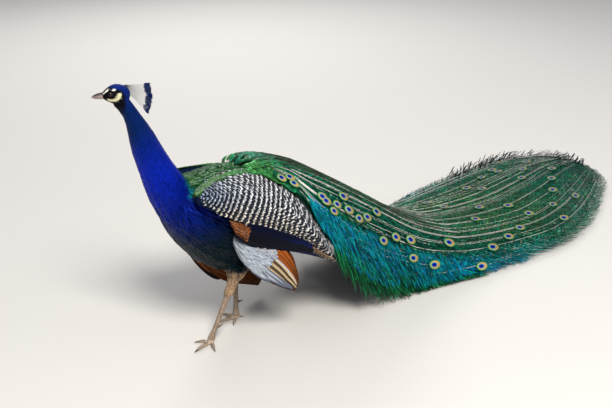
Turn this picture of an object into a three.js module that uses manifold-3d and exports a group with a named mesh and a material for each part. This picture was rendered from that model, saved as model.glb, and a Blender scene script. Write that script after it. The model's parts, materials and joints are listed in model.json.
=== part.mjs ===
// A life-size Indian peacock, standing with its wings drooped and its train spread behind it on the floor.
// Units are millimetres, +Z is up. The bird faces -X and its left side is -Y.
// Every dimension is first given from the point on the floor midway between the two feet.
import * as THREE from "three";
import { mergeVertices } from "three/addons/utils/BufferGeometryUtils.js";
import Module from "manifold-3d";

const wasm = await Module();
wasm.setup();

// ---------------------------------------------------------------- driving dimensions
const GAP = 0.35; // left between pieces that touch
const TO_BASE_CENTRE = { x: -726.265, y: -41.155 }; // centres the model's box on the origin

const RING_POINTS = 16; // round a body section
const BODY_RINGS = 12; // along a body loft

// The trunk from breast to rump: where each section stands, its top, its bottom and its half width.
const TRUNK = [
  { x: -160, top: 400, bottom: 356, half: 24 },
  { x: -146, top: 432, bottom: 316, half: 60 },
  { x: -112, top: 454, bottom: 264, half: 90 },
  { x: -60, top: 461, bottom: 211, half: 108 },
  { x: 8, top: 466, bottom: 172, half: 114 },
  { x: 80, top: 457, bottom: 180, half: 108 },
  { x: 150, top: 434, bottom: 226, half: 88 },
  { x: 220, top: 396, bottom: 284, half: 58 },
  { x: 290, top: 350, bottom: 318, half: 24 },
];
const TRUNK_CUTS = [-62, 118]; // breast | trunk | rump

// The neck: the middle of each section and its radius.
const NECK = [
  { x: -98, z: 372, radius: 64 },
  { x: -126, z: 408, radius: 59 },
  { x: -148, z: 448, radius: 52 },
  { x: -164, z: 484, radius: 45 },
  { x: -178, z: 518, radius: 40 },
  { x: -190, z: 549, radius: 36 },
  { x: -200, z: 580, radius: 31 },
  { x: -210, z: 608, radius: 25 },
  { x: -220, z: 632, radius: 19 },
  { x: -233, z: 655, radius: 18 },
  { x: -247, z: 673, radius: 18 },
];
const NECK_FLATNESS = 0.94; // width of the neck over its depth
const NECK_FOOT_CUT = { x: -140, z: 430, tilt: 66 }; // plane between breast and neck, degrees above level
const NECK_MIDDLE_CUT = { x: -190, z: 552, tilt: 72 };
const NECK_HEAD_CUT = { x: -231, z: 655, tilt: 50 };

// The head, measured along its own axis from its centre towards the bill.
const HEAD = {
  x: -253,
  y: 1,
  z: 687,
  yaw: 10, // degrees turned to the bird's right
  pitch: 3, // bill above level
  sections: [
    { d: -31, top: 6, bottom: -10, half: 6 },
    { d: -26, top: 14, bottom: -19, half: 12 },
    { d: -14, top: 21, bottom: -24, half: 17 },
    { d: 0, top: 23.5, bottom: -23.5, half: 18.5 },
    { d: 12, top: 20.5, bottom: -19, half: 16.5 },
    { d: 22, top: 13.5, bottom: -13.5, half: 11.5 },
    { d: 29, top: 7.5, bottom: -8, half: 7.5 },
    { d: 33, top: 4.5, bottom: -5.5, half: 4.5 },
  ],
};
const BILL = {
  start: 22, // inside the face
  upperTip: 55,
  lowerTip: 51,
  gape: -1.8, // height of the line between the two halves
  culmen: 8.6, // height of the upper half at its root
  chin: 6.4, // depth of the lower half at its root
  half: 7.2,
  droop: 2.6, // how far the gape line has curved down at the upper tip
};
const EYE = { d: 15.5, up: 3.6, side: 12.6, radius: 5.6 };

// The crest: a fan of bare-shafted feathers swept back from the rear of the crown.
const CREST = {
  rootX: -236,
  rootZ: 701,
  rootHalf: 5,
  topTip: { x: -170, z: 697 },
  middleTip: { x: -167, z: 662 },
  lowTip: { x: -177, z: 628 },
  thickness: 3,
};

// The folded, drooping wing, as outlines seen on the bird's left side. Each list runs from front to tip.
const WING_RINGS = 8;
const SHIELD_TOP = [
  [-124, -80, 436],
  [-84, -60, 448],
  [-36, -48, 454],
  [50, -48, 450],
  [104, -66, 428],
  [152, -112, 368],
  [202, -146, 276],
  [240, -160, 192],
];
const SHIELD_BOTTOM = [
  [-126, -92, 434],
  [-92, -117, 404],
  [-40, -131, 374],
  [22, -139, 326],
  [90, -147, 286],
  [146, -154, 256],
  [196, -160, 222],
  [241, -163, 188],
];
const SHIELD_BULGE = 15;
const SHIELD_DEPTH = 16;
const SECONDARY_TOP = [
  [-56, -124, 376],
  [0, -134, 345],
  [80, -146, 300],
  [150, -153, 262],
  [240, -162, 196],
];
const SECONDARY_BOTTOM = [
  [-44, -124, 345],
  [-12, -133, 312],
  [40, -141, 280],
  [120, -149, 252],
  [241, -164, 192],
];
const SECONDARY_THICKNESS = 9;
const PRIMARY_TOP = {
  left: [
    [-36, -112, 330],
    [10, -128, 305],
    [70, -142, 276],
    [110, -149, 246],
    [134, -151, 158],
  ],
  right: [
    [-36, 112, 330],
    [20, 128, 290],
    [90, 128, 226],
    [150, 116, 140],
    [204, 104, 36],
  ],
};
const PRIMARY_BOTTOM = {
  left: [
    [-34, -106, 306],
    [-8, -114, 248],
    [24, -124, 210],
    [66, -134, 176],
    [124, -147, 134],
  ],
  right: [
    [-52, 98, 300],
    [-42, 92, 214],
    [6, 92, 156],
    [62, 92, 90],
    [192, 102, 24],
  ],
};
const PRIMARY_THICKNESS = 8;

// Legs. Each foot carries three front toes and a raised hind toe.
const LEGS = [
  { side: "left", hip: [26, -62, 250], heel: [-17, -56, 143], foot: [-61, -31], toeTurn: 14 },
  { side: "right", hip: [74, 60, 250], heel: [80, 54, 140], foot: [61, 30], toeTurn: -8 },
];
const THIGH = { hipRadius: 44, heelRadius: 11.5 };
const SHANK = {
  heelRadius: 9.2,
  waistRadius: 6.6,
  footRadius: 8.8,
  padHeight: 11,
  padSole: 1.5, // cut off the pad's end to leave it flat on the floor
};
const SPUR = { up: 44, length: 19, radius: 4.2 };
const TOES = [
  { name: "middle", turn: 0, length: 50, radius: 5.6, claw: 13 },
  { name: "inner", turn: 52, length: 33, radius: 5.2, claw: 11 },
  { name: "outer", turn: -54, length: 37, radius: 5.2, claw: 11 },
  { name: "hind", turn: 168, length: 13, radius: 4.2, claw: 9 },
];

// The train: its ridge height, its two edges and how high each edge hangs, at stations behind the feet.
const TRAIN = [
  { x: 36, ridge: 468, left: -44, right: 44, leftZ: 446, rightZ: 446, sag: 0.6 },
  { x: 90, ridge: 464, left: -68, right: 68, leftZ: 428, rightZ: 428, sag: 0.6 },
  { x: 160, ridge: 445, left: -114, right: 114, leftZ: 366, rightZ: 366, sag: 0.56 },
  { x: 240, ridge: 411, left: -158, right: 156, leftZ: 222, rightZ: 222, sag: 0.48 },
  { x: 330, ridge: 356, left: -172, right: 168, leftZ: 104, rightZ: 104, sag: 0.42 },
  { x: 440, ridge: 285, left: -172, right: 166, leftZ: 36, rightZ: 60, sag: 0.42 },
  { x: 600, ridge: 180, left: -192, right: 176, leftZ: 2, rightZ: 44, sag: 0.5 },
  { x: 760, ridge: 110, left: -232, right: 214, leftZ: 2, rightZ: 44, sag: 0.6 },
  { x: 940, ridge: 78, left: -264, right: 264, leftZ: 2, rightZ: 44, sag: 0.75 },
  { x: 1120, ridge: 58, left: -284, right: 314, leftZ: 2, rightZ: 34, sag: 0.9 },
  { x: 1320, ridge: 46, left: -244, right: 352, leftZ: 2, rightZ: 18, sag: 1 },
  { x: 1520, ridge: 36, left: -154, right: 364, leftZ: 2, rightZ: 8, sag: 1 },
  { x: 1680, ridge: 26, left: -50, right: 316, leftZ: 2, rightZ: 2, sag: 1 },
  { x: 1760, ridge: 14, left: 64, right: 236, leftZ: 2, rightZ: 2, sag: 1 },
];
const TRAIN_EDGE_THICKNESS = 6;
const TRAIN_CORE_THICKNESS = 34;
const TRAIN_LIES_BELOW = 12; // an underside lower than this lies on the floor
const TRAIN_HANGS_ABOVE = 44; // one higher than this hangs free
const TRAIN_STEPS_ALONG = 24;
const TRAIN_STEPS_ACROSS = 8;
const TRAIN_CROSS_CUTS = [270, 500, 800, 1150, 1460]; // distances behind the feet
const TRAIN_SPLIT = 0.36; // share of the half width where the middle strip ends
const TRAIN_NAMES = ["root", "fall", "sweep", "spread", "fan", "end"];

// The true tail, hidden under the train and carrying it.
const TAIL = {
  rootX: 290.6,
  rootZ: 334,
  tipX: 560,
  tipZ: 96,
  rootHalf: 26,
  tipHalf: 118,
  thickness: 9,
  arch: 26, // how far the outer feathers hang below the middle ones at the tip
  stepsAcross: 6,
};

// ---------------------------------------------------------------- solids
const V = (x, y, z) => new THREE.Vector3(x, y, z);
const radians = THREE.MathUtils.degToRad;

function solid(geometry) {
  const bare = geometry.index ? geometry.toNonIndexed() : geometry.clone();
  bare.deleteAttribute("normal");
  bare.deleteAttribute("uv");
  const merged = mergeVertices(bare, 1e-4);
  const triVerts = new Uint32Array(merged.index.array);
  const vertProperties = merged.attributes.position.array;
  const made = new wasm.Manifold(new wasm.Mesh({ numProp: 3, vertProperties, triVerts }));
  if (made.volume() >= 0) return made;
  for (let i = 0; i < triVerts.length; i += 3) {
    [triVerts[i + 1], triVerts[i + 2]] = [triVerts[i + 2], triVerts[i + 1]];
  }
  return new wasm.Manifold(new wasm.Mesh({ numProp: 3, vertProperties, triVerts }));
}

function geometryOf(piece) {
  const mesh = piece.getMesh();
  const positions = new Float32Array(mesh.numVert * 3);
  for (let i = 0; i < mesh.numVert; i += 1) {
    positions.set(mesh.vertProperties.subarray(i * mesh.numProp, i * mesh.numProp + 3), i * 3);
  }
  const geometry = new THREE.BufferGeometry();
  geometry.setAttribute("position", new THREE.BufferAttribute(positions, 3));
  geometry.setIndex(new THREE.BufferAttribute(new Uint32Array(mesh.triVerts), 1));
  geometry.computeVertexNormals();
  return geometry;
}

// A closed skin through rings that hold the same number of points, with a fan over each end.
// The rings of a sheet run out along one face and back along the other, and its ends are closed across.
function loft(rings, isSheet = false) {
  const count = rings[0].length;
  const middle = (ring) => ring.reduce((sum, p) => sum.add(p), V(0, 0, 0)).divideScalar(count);
  const points = rings.flat();
  const index = [];
  for (let i = 0; i < rings.length - 1; i += 1) {
    for (let j = 0; j < count; j += 1) {
      const a = i * count + j;
      const b = i * count + ((j + 1) % count);
      index.push(a, b, b + count, a, b + count, a + count);
    }
  }
  const last = (rings.length - 1) * count;
  if (isSheet) {
    for (let j = 0; j < count / 2 - 1; j += 1) {
      const [a, b, c, d] = [j, j + 1, count - 2 - j, count - 1 - j];
      index.push(c, b, a, d, c, a, last + a, last + b, last + c, last + a, last + c, last + d);
    }
  } else {
    points.push(middle(rings[0]), middle(rings.at(-1)));
    for (let j = 0; j < count; j += 1) {
      const next = (j + 1) % count;
      index.push(points.length - 2, next, j, points.length - 1, last + j, last + next);
    }
  }
  const geometry = new THREE.BufferGeometry().setFromPoints(points);
  geometry.setIndex(index);
  return solid(geometry);
}

// Reads a named value at a share of the way along a list of stations, on a smooth curve through them.
function sampler(stations) {
  const curves = {};
  for (const key of Object.keys(stations[0])) {
    const points = stations.map((s, i) => V(i / (stations.length - 1), s[key], 0));
    curves[key] = new THREE.CatmullRomCurve3(points, false, "centripetal");
  }
  return (share) => {
    const read = {};
    for (const [key, curve] of Object.entries(curves)) read[key] = curve.getPoint(share).y;
    return read;
  };
}

// A ring about a centre: side is its half width, up and down its heights.
function oval(centre, sideways, upwards, side, up, down, count = RING_POINTS) {
  const ring = [];
  for (let j = 0; j < count; j += 1) {
    const angle = (j / count) * 2 * Math.PI;
    const height = Math.sin(angle) * (Math.sin(angle) > 0 ? up : down);
    const point = centre.clone().addScaledVector(sideways, Math.cos(angle) * side);
    ring.push(point.addScaledVector(upwards, height));
  }
  return ring;
}

// A round bar through the points, with its own radius at each.
function bar(points, radii, count = 10, flatness = 1) {
  const rings = points.map((p, i) => {
    const along = points[Math.min(i + 1, points.length - 1)].clone();
    along.sub(points[Math.max(i - 1, 0)]).normalize();
    const helper = Math.abs(along.z) > 0.9 ? V(1, 0, 0) : V(0, 0, 1);
    const sideways = new THREE.Vector3().crossVectors(helper, along).normalize();
    const upwards = new THREE.Vector3().crossVectors(along, sideways).normalize();
    return oval(p, sideways, upwards, radii[i] * flatness, radii[i], radii[i], count);
  });
  return loft(rings);
}

function block(x0, x1, y0, y1, z0, z1) {
  const box = new THREE.BoxGeometry(x1 - x0, y1 - y0, z1 - z0);
  return solid(box.translate((x0 + x1) / 2, (y0 + y1) / 2, (z0 + z1) / 2));
}

// A slab as thick as the gap, in a plane through (x, z) whose normal lies at this tilt above the way ahead.
function slab({ x, z, tilt }) {
  const sheet = new THREE.BoxGeometry(GAP, 400, 400);
  return solid(sheet.rotateY(radians(tilt)).translate(x, 0, z));
}

// Everything on the bill's side of such a plane.
function ahead({ x, z, tilt }) {
  const half = new THREE.BoxGeometry(800, 800, 800).translate(-400, 0, 0);
  return solid(half.rotateY(radians(tilt)).translate(x, 0, z));
}

const largest = (piece) => piece.decompose().sort((a, b) => b.volume() - a.volume())[0];
const below = block(-500, 2400, -900, 900, -400, 0);

// ---------------------------------------------------------------- body, neck and head
function trunkSolid(grow = 0) {
  const read = sampler(TRUNK);
  const rings = [];
  for (let i = 0; i <= BODY_RINGS; i += 1) {
    const share = i / BODY_RINGS;
    const s = read(share);
    const middle = (s.top + s.bottom) / 2;
    const height = (s.top - s.bottom) / 2 + grow;
    const x = s.x + grow * (share < 0.5 ? -1 : 1) * (share === 0 || share === 1 ? 1 : 0);
    rings.push(oval(V(x, 0, middle), V(0, 1, 0), V(0, 0, 1), s.half + grow, height, height));
  }
  return loft(rings);
}

function neckSolid(grow = 0) {
  const read = sampler(NECK);
  const rings = [];
  for (let i = 0; i <= BODY_RINGS; i += 1) {
    const s = read(i / BODY_RINGS);
    const a = read(Math.max(i - 0.5, 0) / BODY_RINGS);
    const b = read(Math.min(i + 0.5, BODY_RINGS) / BODY_RINGS);
    const along = V(b.x - a.x, 0, b.z - a.z).normalize();
    const upwards = V(along.z, 0, -along.x);
    const radius = s.radius + grow;
    rings.push(oval(V(s.x, 0, s.z), V(0, 1, 0), upwards, radius * NECK_FLATNESS, radius, radius));
  }
  return loft(rings);
}

const headTurn = new THREE.Matrix4()
  .makeTranslation(HEAD.x, HEAD.y, HEAD.z)
  .multiply(new THREE.Matrix4().makeRotationZ(radians(180 - HEAD.yaw)))
  .multiply(new THREE.Matrix4().makeRotationY(radians(-HEAD.pitch)));
const inHead = (d, side, up) => V(d, side, up).applyMatrix4(headTurn);

function headLoft(sections, grow = 0, rings = 9, count = 12) {
  const read = sampler(sections);
  const made = [];
  for (let i = 0; i <= rings; i += 1) {
    const s = read(i / rings);
    const [half, top, bottom] = [s.half + grow, s.top + grow, grow - s.bottom];
    const ring = oval(V(s.d, 0, 0), V(0, 1, 0), V(0, 0, 1), half, top, bottom, count);
    made.push(ring.map((p) => p.applyMatrix4(headTurn)));
  }
  return loft(made);
}

// Half of the bill: a tapering wedge with its flat side on the gape line.
function billHalf(tip, height, sign) {
  const rings = [];
  const steps = 7;
  for (let i = 0; i <= steps; i += 1) {
    const share = i / steps;
    const d = BILL.start + (tip - BILL.start) * share;
    const taper = Math.sqrt(1 - (0.985 * share) ** 2.2);
    const drop = BILL.droop * ((d - BILL.start) / (BILL.upperTip - BILL.start)) ** 3;
    const ring = [];
    for (let j = 0; j < 8; j += 1) {
      const angle = (j / 8) * 2 * Math.PI;
      const round = Math.sin(angle) * sign;
      const up = round > 0 ? round * height * taper : round * 0.25;
      const gape = BILL.gape + sign * (0.25 + GAP / 2) - drop;
      ring.push(inHead(d, Math.cos(angle) * BILL.half * taper ** 1.15, gape + up * sign));
    }
    rings.push(ring);
  }
  return loft(rings);
}

const eyeAt = (side) => inHead(EYE.d, side * EYE.side, EYE.up);
function eyeball(side, radius) {
  const centre = eyeAt(side);
  return solid(new THREE.SphereGeometry(radius, 10, 6).translate(centre.x, centre.y, centre.z));
}

function crestSolid() {
  const { topTip, middleTip, lowTip } = CREST;
  const shape = new THREE.Shape();
  shape.moveTo(CREST.rootX, CREST.rootZ + CREST.rootHalf);
  shape.lineTo(topTip.x - 6, topTip.z + 1);
  shape.quadraticCurveTo(topTip.x + 2, topTip.z - 1, topTip.x + 1, topTip.z - 9);
  shape.quadraticCurveTo(middleTip.x, middleTip.z, lowTip.x + 1, lowTip.z + 8);
  shape.quadraticCurveTo(lowTip.x + 1, lowTip.z - 1, lowTip.x - 7, lowTip.z);
  shape.lineTo(CREST.rootX - 2, CREST.rootZ - CREST.rootHalf);
  shape.closePath();
  const fan = new THREE.ExtrudeGeometry(shape, {
    depth: CREST.thickness,
    bevelEnabled: false,
    curveSegments: 8,
  });
  return solid(fan.translate(0, 0, -CREST.thickness / 2).rotateX(Math.PI / 2));
}

// ---------------------------------------------------------------- wings
// A thin curved panel between two edges, bulging outwards and as deep inwards.
function panel(topEdge, bottomEdge, outward, inward, grow = 0, ringCount = WING_RINGS) {
  const curve = (list) => new THREE.CatmullRomCurve3(list.map((p) => V(...p)), false, "centripetal");
  const top = curve(topEdge);
  const bottom = curve(bottomEdge);
  const steps = 5;
  const rings = [];
  for (let i = 0; i <= ringCount; i += 1) {
    const share = i / ringCount;
    const a = top.getPoint(share);
    const b = bottom.getPoint(share);
    const across = b.clone().sub(a).normalize();
    const along = top.getTangent(share).add(bottom.getTangent(share)).normalize();
    const outwards = new THREE.Vector3().crossVectors(along, across).normalize();
    if (outwards.y * a.y < 0) outwards.negate();
    a.addScaledVector(across, -grow);
    b.addScaledVector(across, grow);
    const ends = Math.min(1, 4 * Math.min(share + 0.08, 1.04 - share));
    const ring = [];
    for (let k = 0; k <= steps; k += 1) {
      const bulge = Math.sin((k / steps) * Math.PI) * outward * ends + grow + 0.6;
      ring.push(a.clone().lerp(b, k / steps).addScaledVector(outwards, bulge));
    }
    for (let k = steps; k >= 0; k -= 1) {
      const depth = Math.sin((k / steps) * Math.PI) * inward * ends + grow + 0.6;
      ring.push(a.clone().lerp(b, k / steps).addScaledVector(outwards, -depth));
    }
    rings.push(ring);
  }
  return loft(rings, true);
}

const shieldSolid = (grow = 0) => panel(SHIELD_TOP, SHIELD_BOTTOM, SHIELD_BULGE, SHIELD_DEPTH, grow);
const secondarySolid = (grow = 0) => {
  const half = SECONDARY_THICKNESS / 2;
  return panel(SECONDARY_TOP, SECONDARY_BOTTOM, half, half, grow, 6);
};
const primarySolid = (side) => {
  const half = PRIMARY_THICKNESS / 2;
  return panel(PRIMARY_TOP[side], PRIMARY_BOTTOM[side], half, half, 0, 6);
};

// ---------------------------------------------------------------- legs
function heading(turn) {
  const angle = radians(turn);
  return V(-Math.cos(angle), -Math.sin(angle), 0);
}

function thighSolid({ hip, heel }) {
  const points = [0, 0.35, 0.7, 0.92, 1.06].map((s) => V(...hip).lerp(V(...heel), s));
  const { hipRadius, heelRadius } = THIGH;
  return bar(points, [hipRadius, hipRadius * 0.8, hipRadius * 0.42, heelRadius * 1.15, heelRadius], 10);
}

function shankSolid({ heel, foot }, grow = 0) {
  const end = V(foot[0], foot[1], SHANK.padHeight);
  const start = V(...heel);
  const rise = start.clone().lerp(end, -0.05);
  const points = [rise, ...[0, 0.12, 0.45, 0.8, 0.94, 1].map((s) => start.clone().lerp(end, s))];
  points.push(V(foot[0] - 1, foot[1], -SHANK.padSole));
  const { heelRadius, waistRadius, footRadius } = SHANK;
  const upperRadii = [heelRadius * 0.8, heelRadius, heelRadius * 0.9, waistRadius, waistRadius];
  const radii = [...upperRadii, footRadius, footRadius, footRadius * 0.92];
  return bar(points, radii.map((r) => r + grow), 8).subtract(below);
}

// A toe that lies flat on the floor, its knuckles a little proud.
function toeSolid({ foot, toeTurn, side }, toe, grow = 0) {
  const mirror = side === "left" ? 1 : -1;
  const way = heading(toeTurn + toe.turn * -mirror);
  const shares = [0.08, 0.3, 0.4, 0.66, 0.74, 1];
  const knuckle = [1, 0.86, 0.98, 0.8, 0.9, 0.62];
  const start = SHANK.footRadius * 0.6;
  const lift = toe.name === "hind" ? 9 : 0;
  const points = shares.map((s) => {
    const reach = start + (toe.length - start) * s;
    const height = toe.radius * (0.86 - 0.16 * s) + lift * (1 - s);
    return V(foot[0], foot[1], height).addScaledVector(way, reach);
  });
  return bar(points, knuckle.map((k) => k * toe.radius + grow), 6).subtract(below);
}

function clawSolid({ foot, toeTurn, side }, toe) {
  const mirror = side === "left" ? 1 : -1;
  const way = heading(toeTurn + toe.turn * -mirror);
  const shares = [0, 0.35, 0.7, 1];
  const points = shares.map((s) => {
    const height = toe.radius * (0.66 + 0.5 * s - 1.0 * s * s) + 0.2;
    return V(foot[0], foot[1], height).addScaledVector(way, toe.length - 3 + (toe.claw + 3) * s);
  });
  return bar(points, [0.5, 0.44, 0.3, 0.09].map((k) => k * toe.radius), 5).subtract(below);
}

function spurSolid({ heel, foot, side }) {
  const mirror = side === "left" ? 1 : -1;
  const share = 1 - SPUR.up / heel[2];
  const root = V(...heel).lerp(V(foot[0], foot[1], 0), share);
  const shares = [0, 0.35, 0.7, 1];
  const points = shares.map((s) => V(s * SPUR.length + 3, mirror * 3 * s, 4 * s * s - 4 * s).add(root));
  return bar(points, [1, 0.78, 0.45, 0.12].map((k) => k * SPUR.radius), 6);
}

// ---------------------------------------------------------------- train and tail
const trainRead = sampler(TRAIN);

// The train's upper face: share runs from root to tip, across from -1, its left edge, to 1, its right.
function trainTop(share, across) {
  const s = trainRead(share);
  const edge = across < 0 ? s.left : s.right;
  const low = across < 0 ? s.leftZ : s.rightZ;
  const middle = (s.left + s.right) / 2;
  const y = middle + (edge - middle) * Math.abs(across);
  const fall = 1 - Math.abs(across) ** (2 / s.sag / 1.25);
  return V(s.x, y, low + TRAIN_EDGE_THICKNESS + (s.ridge - low - TRAIN_EDGE_THICKNESS) * fall);
}

function trainThickness(share, across) {
  const core = TRAIN_CORE_THICKNESS * Math.sin(Math.min(1, share * 3 + 0.25) * 0.5 * Math.PI);
  return TRAIN_EDGE_THICKNESS + (core - TRAIN_EDGE_THICKNESS) * (1 - across * across) * (1 - 0.5 * share);
}

// Where the underside would come this near the floor the train lies on it.
function settled(z) {
  const free = THREE.MathUtils.smoothstep(z, TRAIN_LIES_BELOW, TRAIN_HANGS_ABOVE);
  return z * free - 2 * (1 - free);
}

function trainSolid() {
  const rings = [];
  for (let i = 0; i <= TRAIN_STEPS_ALONG; i += 1) {
    const share = i / TRAIN_STEPS_ALONG;
    const upper = [];
    const lower = [];
    for (let j = 0; j <= TRAIN_STEPS_ACROSS; j += 1) {
      const across = -1 + (2 * j) / TRAIN_STEPS_ACROSS;
      const top = trainTop(share, across);
      upper.push(top);
      const under = top.clone();
      under.z = Math.min(settled(top.z - trainThickness(share, across)), top.z - 3);
      under.y *= 0.99;
      lower.unshift(under);
    }
    rings.push([...upper, ...lower]);
  }
  return loft(rings, true).subtract(below);
}

// The strip of the train between two shares of its half width, as a tall cutter that follows it.
function trainStrip(from, to) {
  const rings = [];
  const steps = 12;
  for (let i = 0; i <= steps; i += 1) {
    const share = -0.02 + (1.04 * i) / steps;
    const s = trainRead(Math.min(1, Math.max(0, share)));
    const x = s.x + (share < 0 ? -60 : 0) + (share > 1 ? 60 : 0);
    const middle = (s.left + s.right) / 2;
    const at = (across) => middle + (s.right - s.left) * 0.5 * across;
    const [a, b] = [at(from) + GAP / 2, at(to) - GAP / 2];
    rings.push([V(x, a, -50), V(x, b, -50), V(x, b, 700), V(x, a, 700)]);
  }
  return loft(rings);
}

function tailSolid() {
  const rings = [];
  const steps = 6;
  for (let i = 0; i <= steps; i += 1) {
    const share = i / steps;
    const x = TAIL.rootX + (TAIL.tipX - TAIL.rootX) * share;
    const z = TAIL.rootZ + (TAIL.tipZ - TAIL.rootZ) * share;
    const half = TAIL.rootHalf + (TAIL.tipHalf - TAIL.rootHalf) * Math.sin(share * 0.5 * Math.PI);
    const upper = [];
    const lower = [];
    for (let j = 0; j <= TAIL.stepsAcross; j += 1) {
      const across = -1 + (2 * j) / TAIL.stepsAcross;
      const arch = -TAIL.arch * ((across * half) / TAIL.tipHalf) ** 2;
      const thick = TAIL.thickness * (1 - 0.8 * across * across);
      upper.push(V(x, across * half, z + arch + thick / 2));
      lower.unshift(V(x, across * half, z + arch - thick / 2));
    }
    rings.push([...upper, ...lower]);
  }
  return loft(rings, true);
}

// ---------------------------------------------------------------- the model
const FINISH = {
  blue: { color: 0x0a2a9a, roughness: 0.45, metalness: 0.2 },
  green: { color: 0x0c6b50, roughness: 0.5, metalness: 0.2 },
  barred: { color: 0xb9b0a0, roughness: 0.7, metalness: 0 },
  black: { color: 0x101218, roughness: 0.5, metalness: 0.1 },
  rufous: { color: 0x9a5424, roughness: 0.7, metalness: 0 },
  brown: { color: 0x3a2a1c, roughness: 0.8, metalness: 0 },
  buff: { color: 0xb49a78, roughness: 0.8, metalness: 0 },
  leg: { color: 0x9b8c80, roughness: 0.6, metalness: 0 },
  horn: { color: 0x7a6a60, roughness: 0.4, metalness: 0 },
  eye: { color: 0x1a0f08, roughness: 0.1, metalness: 0 },
};

const peacock = new THREE.Group();
function add(name, piece, finish) {
  const mesh = new THREE.Mesh(geometryOf(largest(piece)), new THREE.MeshStandardMaterial(FINISH[finish]));
  mesh.name = name;
  peacock.add(mesh);
}
const mirrored = (piece) => {
  const geometry = geometryOf(piece);
  return solid(geometry.scale(1, -1, 1));
};

const headWhole = headLoft(HEAD.sections);
const headCutter = headLoft(HEAD.sections, GAP);
const flesh = trunkSolid().add(neckSolid()).add(headWhole);
const fleshCutter = trunkSolid(GAP).add(neckSolid(GAP)).add(headCutter);

// Head and neck.
const upperBill = billHalf(BILL.upperTip, BILL.culmen, 1);
const lowerBill = billHalf(BILL.lowerTip, BILL.chin, -1);
const headOnly = flesh.intersect(ahead(NECK_HEAD_CUT)).subtract(slab(NECK_HEAD_CUT));
const sockets = eyeball(-1, EYE.radius + GAP).add(eyeball(1, EYE.radius + GAP));
add("head", headOnly.subtract(sockets), "blue");
add("bill_upper", upperBill.subtract(headCutter), "horn");
add("bill_lower", lowerBill.subtract(headCutter), "horn");
add("eye_left", eyeball(1, EYE.radius), "eye");
add("eye_right", eyeball(-1, EYE.radius), "eye");
add("crest", crestSolid().subtract(fleshCutter), "blue");
const belowHead = flesh.subtract(ahead(NECK_HEAD_CUT)).subtract(slab(NECK_HEAD_CUT));
add("neck_upper", belowHead.intersect(ahead(NECK_MIDDLE_CUT)).subtract(slab(NECK_MIDDLE_CUT)), "blue");
const belowMiddle = belowHead.subtract(ahead(NECK_MIDDLE_CUT)).subtract(slab(NECK_MIDDLE_CUT));
add("neck_lower", belowMiddle.intersect(ahead(NECK_FOOT_CUT)).subtract(slab(NECK_FOOT_CUT)), "blue");

// Trunk.
const body = belowMiddle.subtract(ahead(NECK_FOOT_CUT)).subtract(slab(NECK_FOOT_CUT));
const [breastEnd, rumpStart] = TRUNK_CUTS;
add("breast", body.intersect(block(-400, breastEnd - GAP / 2, -300, 300, 0, 800)), "blue");
add("trunk", body.intersect(block(breastEnd + GAP / 2, rumpStart - GAP / 2, -300, 300, 0, 800)), "green");
add("rump", body.intersect(block(rumpStart + GAP / 2, 600, -300, 300, 0, 800)), "green");

// Wings: the right coverts and secondaries mirror the left ones, and the right primaries hang lower.
const shield = shieldSolid().subtract(fleshCutter);
const secondaries = secondarySolid().subtract(fleshCutter).subtract(shieldSolid(GAP));
const wingCutter = shieldSolid(GAP).add(secondarySolid(GAP));
for (const [side, turn] of [["left", (p) => p], ["right", mirrored]]) {
  add(`wing_${side}_coverts`, turn(largest(shield)).subtract(fleshCutter), "barred");
  add(`wing_${side}_secondaries`, turn(largest(secondaries)).subtract(fleshCutter), "black");
  const primaries = primarySolid(side).subtract(fleshCutter).subtract(turn(wingCutter));
  add(`wing_${side}_primaries`, primaries, "rufous");
}

// Legs.
for (const leg of LEGS) {
  const shank = shankSolid(leg);
  const shankCutter = shankSolid(leg, GAP);
  const thigh = thighSolid(leg).subtract(fleshCutter).subtract(shankCutter);
  add(`thigh_${leg.side}`, thigh.subtract(primarySolid(leg.side)), "buff");
  add(`shank_${leg.side}`, shank, "leg");
  add(`spur_${leg.side}`, spurSolid(leg).subtract(shankCutter), "horn");
  let taken = shankCutter;
  for (const toe of TOES) {
    const toeCutter = toeSolid(leg, toe, GAP);
    add(`toe_${leg.side}_${toe.name}`, toeSolid(leg, toe).subtract(taken), "leg");
    add(`claw_${leg.side}_${toe.name}`, clawSolid(leg, toe).subtract(toeCutter), "horn");
    taken = taken.add(toeCutter);
  }
}

// Train and tail.
const trainWhole = trainSolid().subtract(fleshCutter).subtract(wingCutter).subtract(mirrored(wingCutter));
const strips = {
  left: [-1.2, -TRAIN_SPLIT],
  middle: [-TRAIN_SPLIT, TRAIN_SPLIT],
  right: [TRAIN_SPLIT, 1.2],
};
for (const [side, [from, to]] of Object.entries(strips)) {
  const strip = trainWhole.intersect(trainStrip(from, to));
  TRAIN_NAMES.forEach((name, i) => {
    const start = i === 0 ? -200 : TRAIN_CROSS_CUTS[i - 1] + GAP / 2;
    const end = i === TRAIN_NAMES.length - 1 ? 2400 : TRAIN_CROSS_CUTS[i] - GAP / 2;
    add(`train_${side}_${name}`, strip.intersect(block(start, end, -900, 900, 0, 800)), "green");
  });
}
add("tail_feathers", tailSolid(), "brown");

peacock.position.set(TO_BASE_CENTRE.x, TO_BASE_CENTRE.y, 0);
export default peacock;
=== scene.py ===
# %% [markdown]
# # An Indian peacock, life size
# The bird stands still with its wings drooped and its train swept down behind it and spread on the floor.
# The solids from the CAD program give its true outline, out to the tips of the feathers. This script puts
# a living surface on that outline: one skin, a coat of separate feathers over it, long flight feathers,
# and a train of shafts, loose barbs and ringed eyespots.
#
# Everything is in metres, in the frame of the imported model. Places on the bird are easier to think of from
# the point on the floor midway between its feet, so the arrays below use that point as their origin and
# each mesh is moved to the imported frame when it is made.

import json
import math

import bmesh
import bpy
import numpy as np
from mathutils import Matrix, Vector
from mathutils.bvhtree import BVHTree

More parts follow.
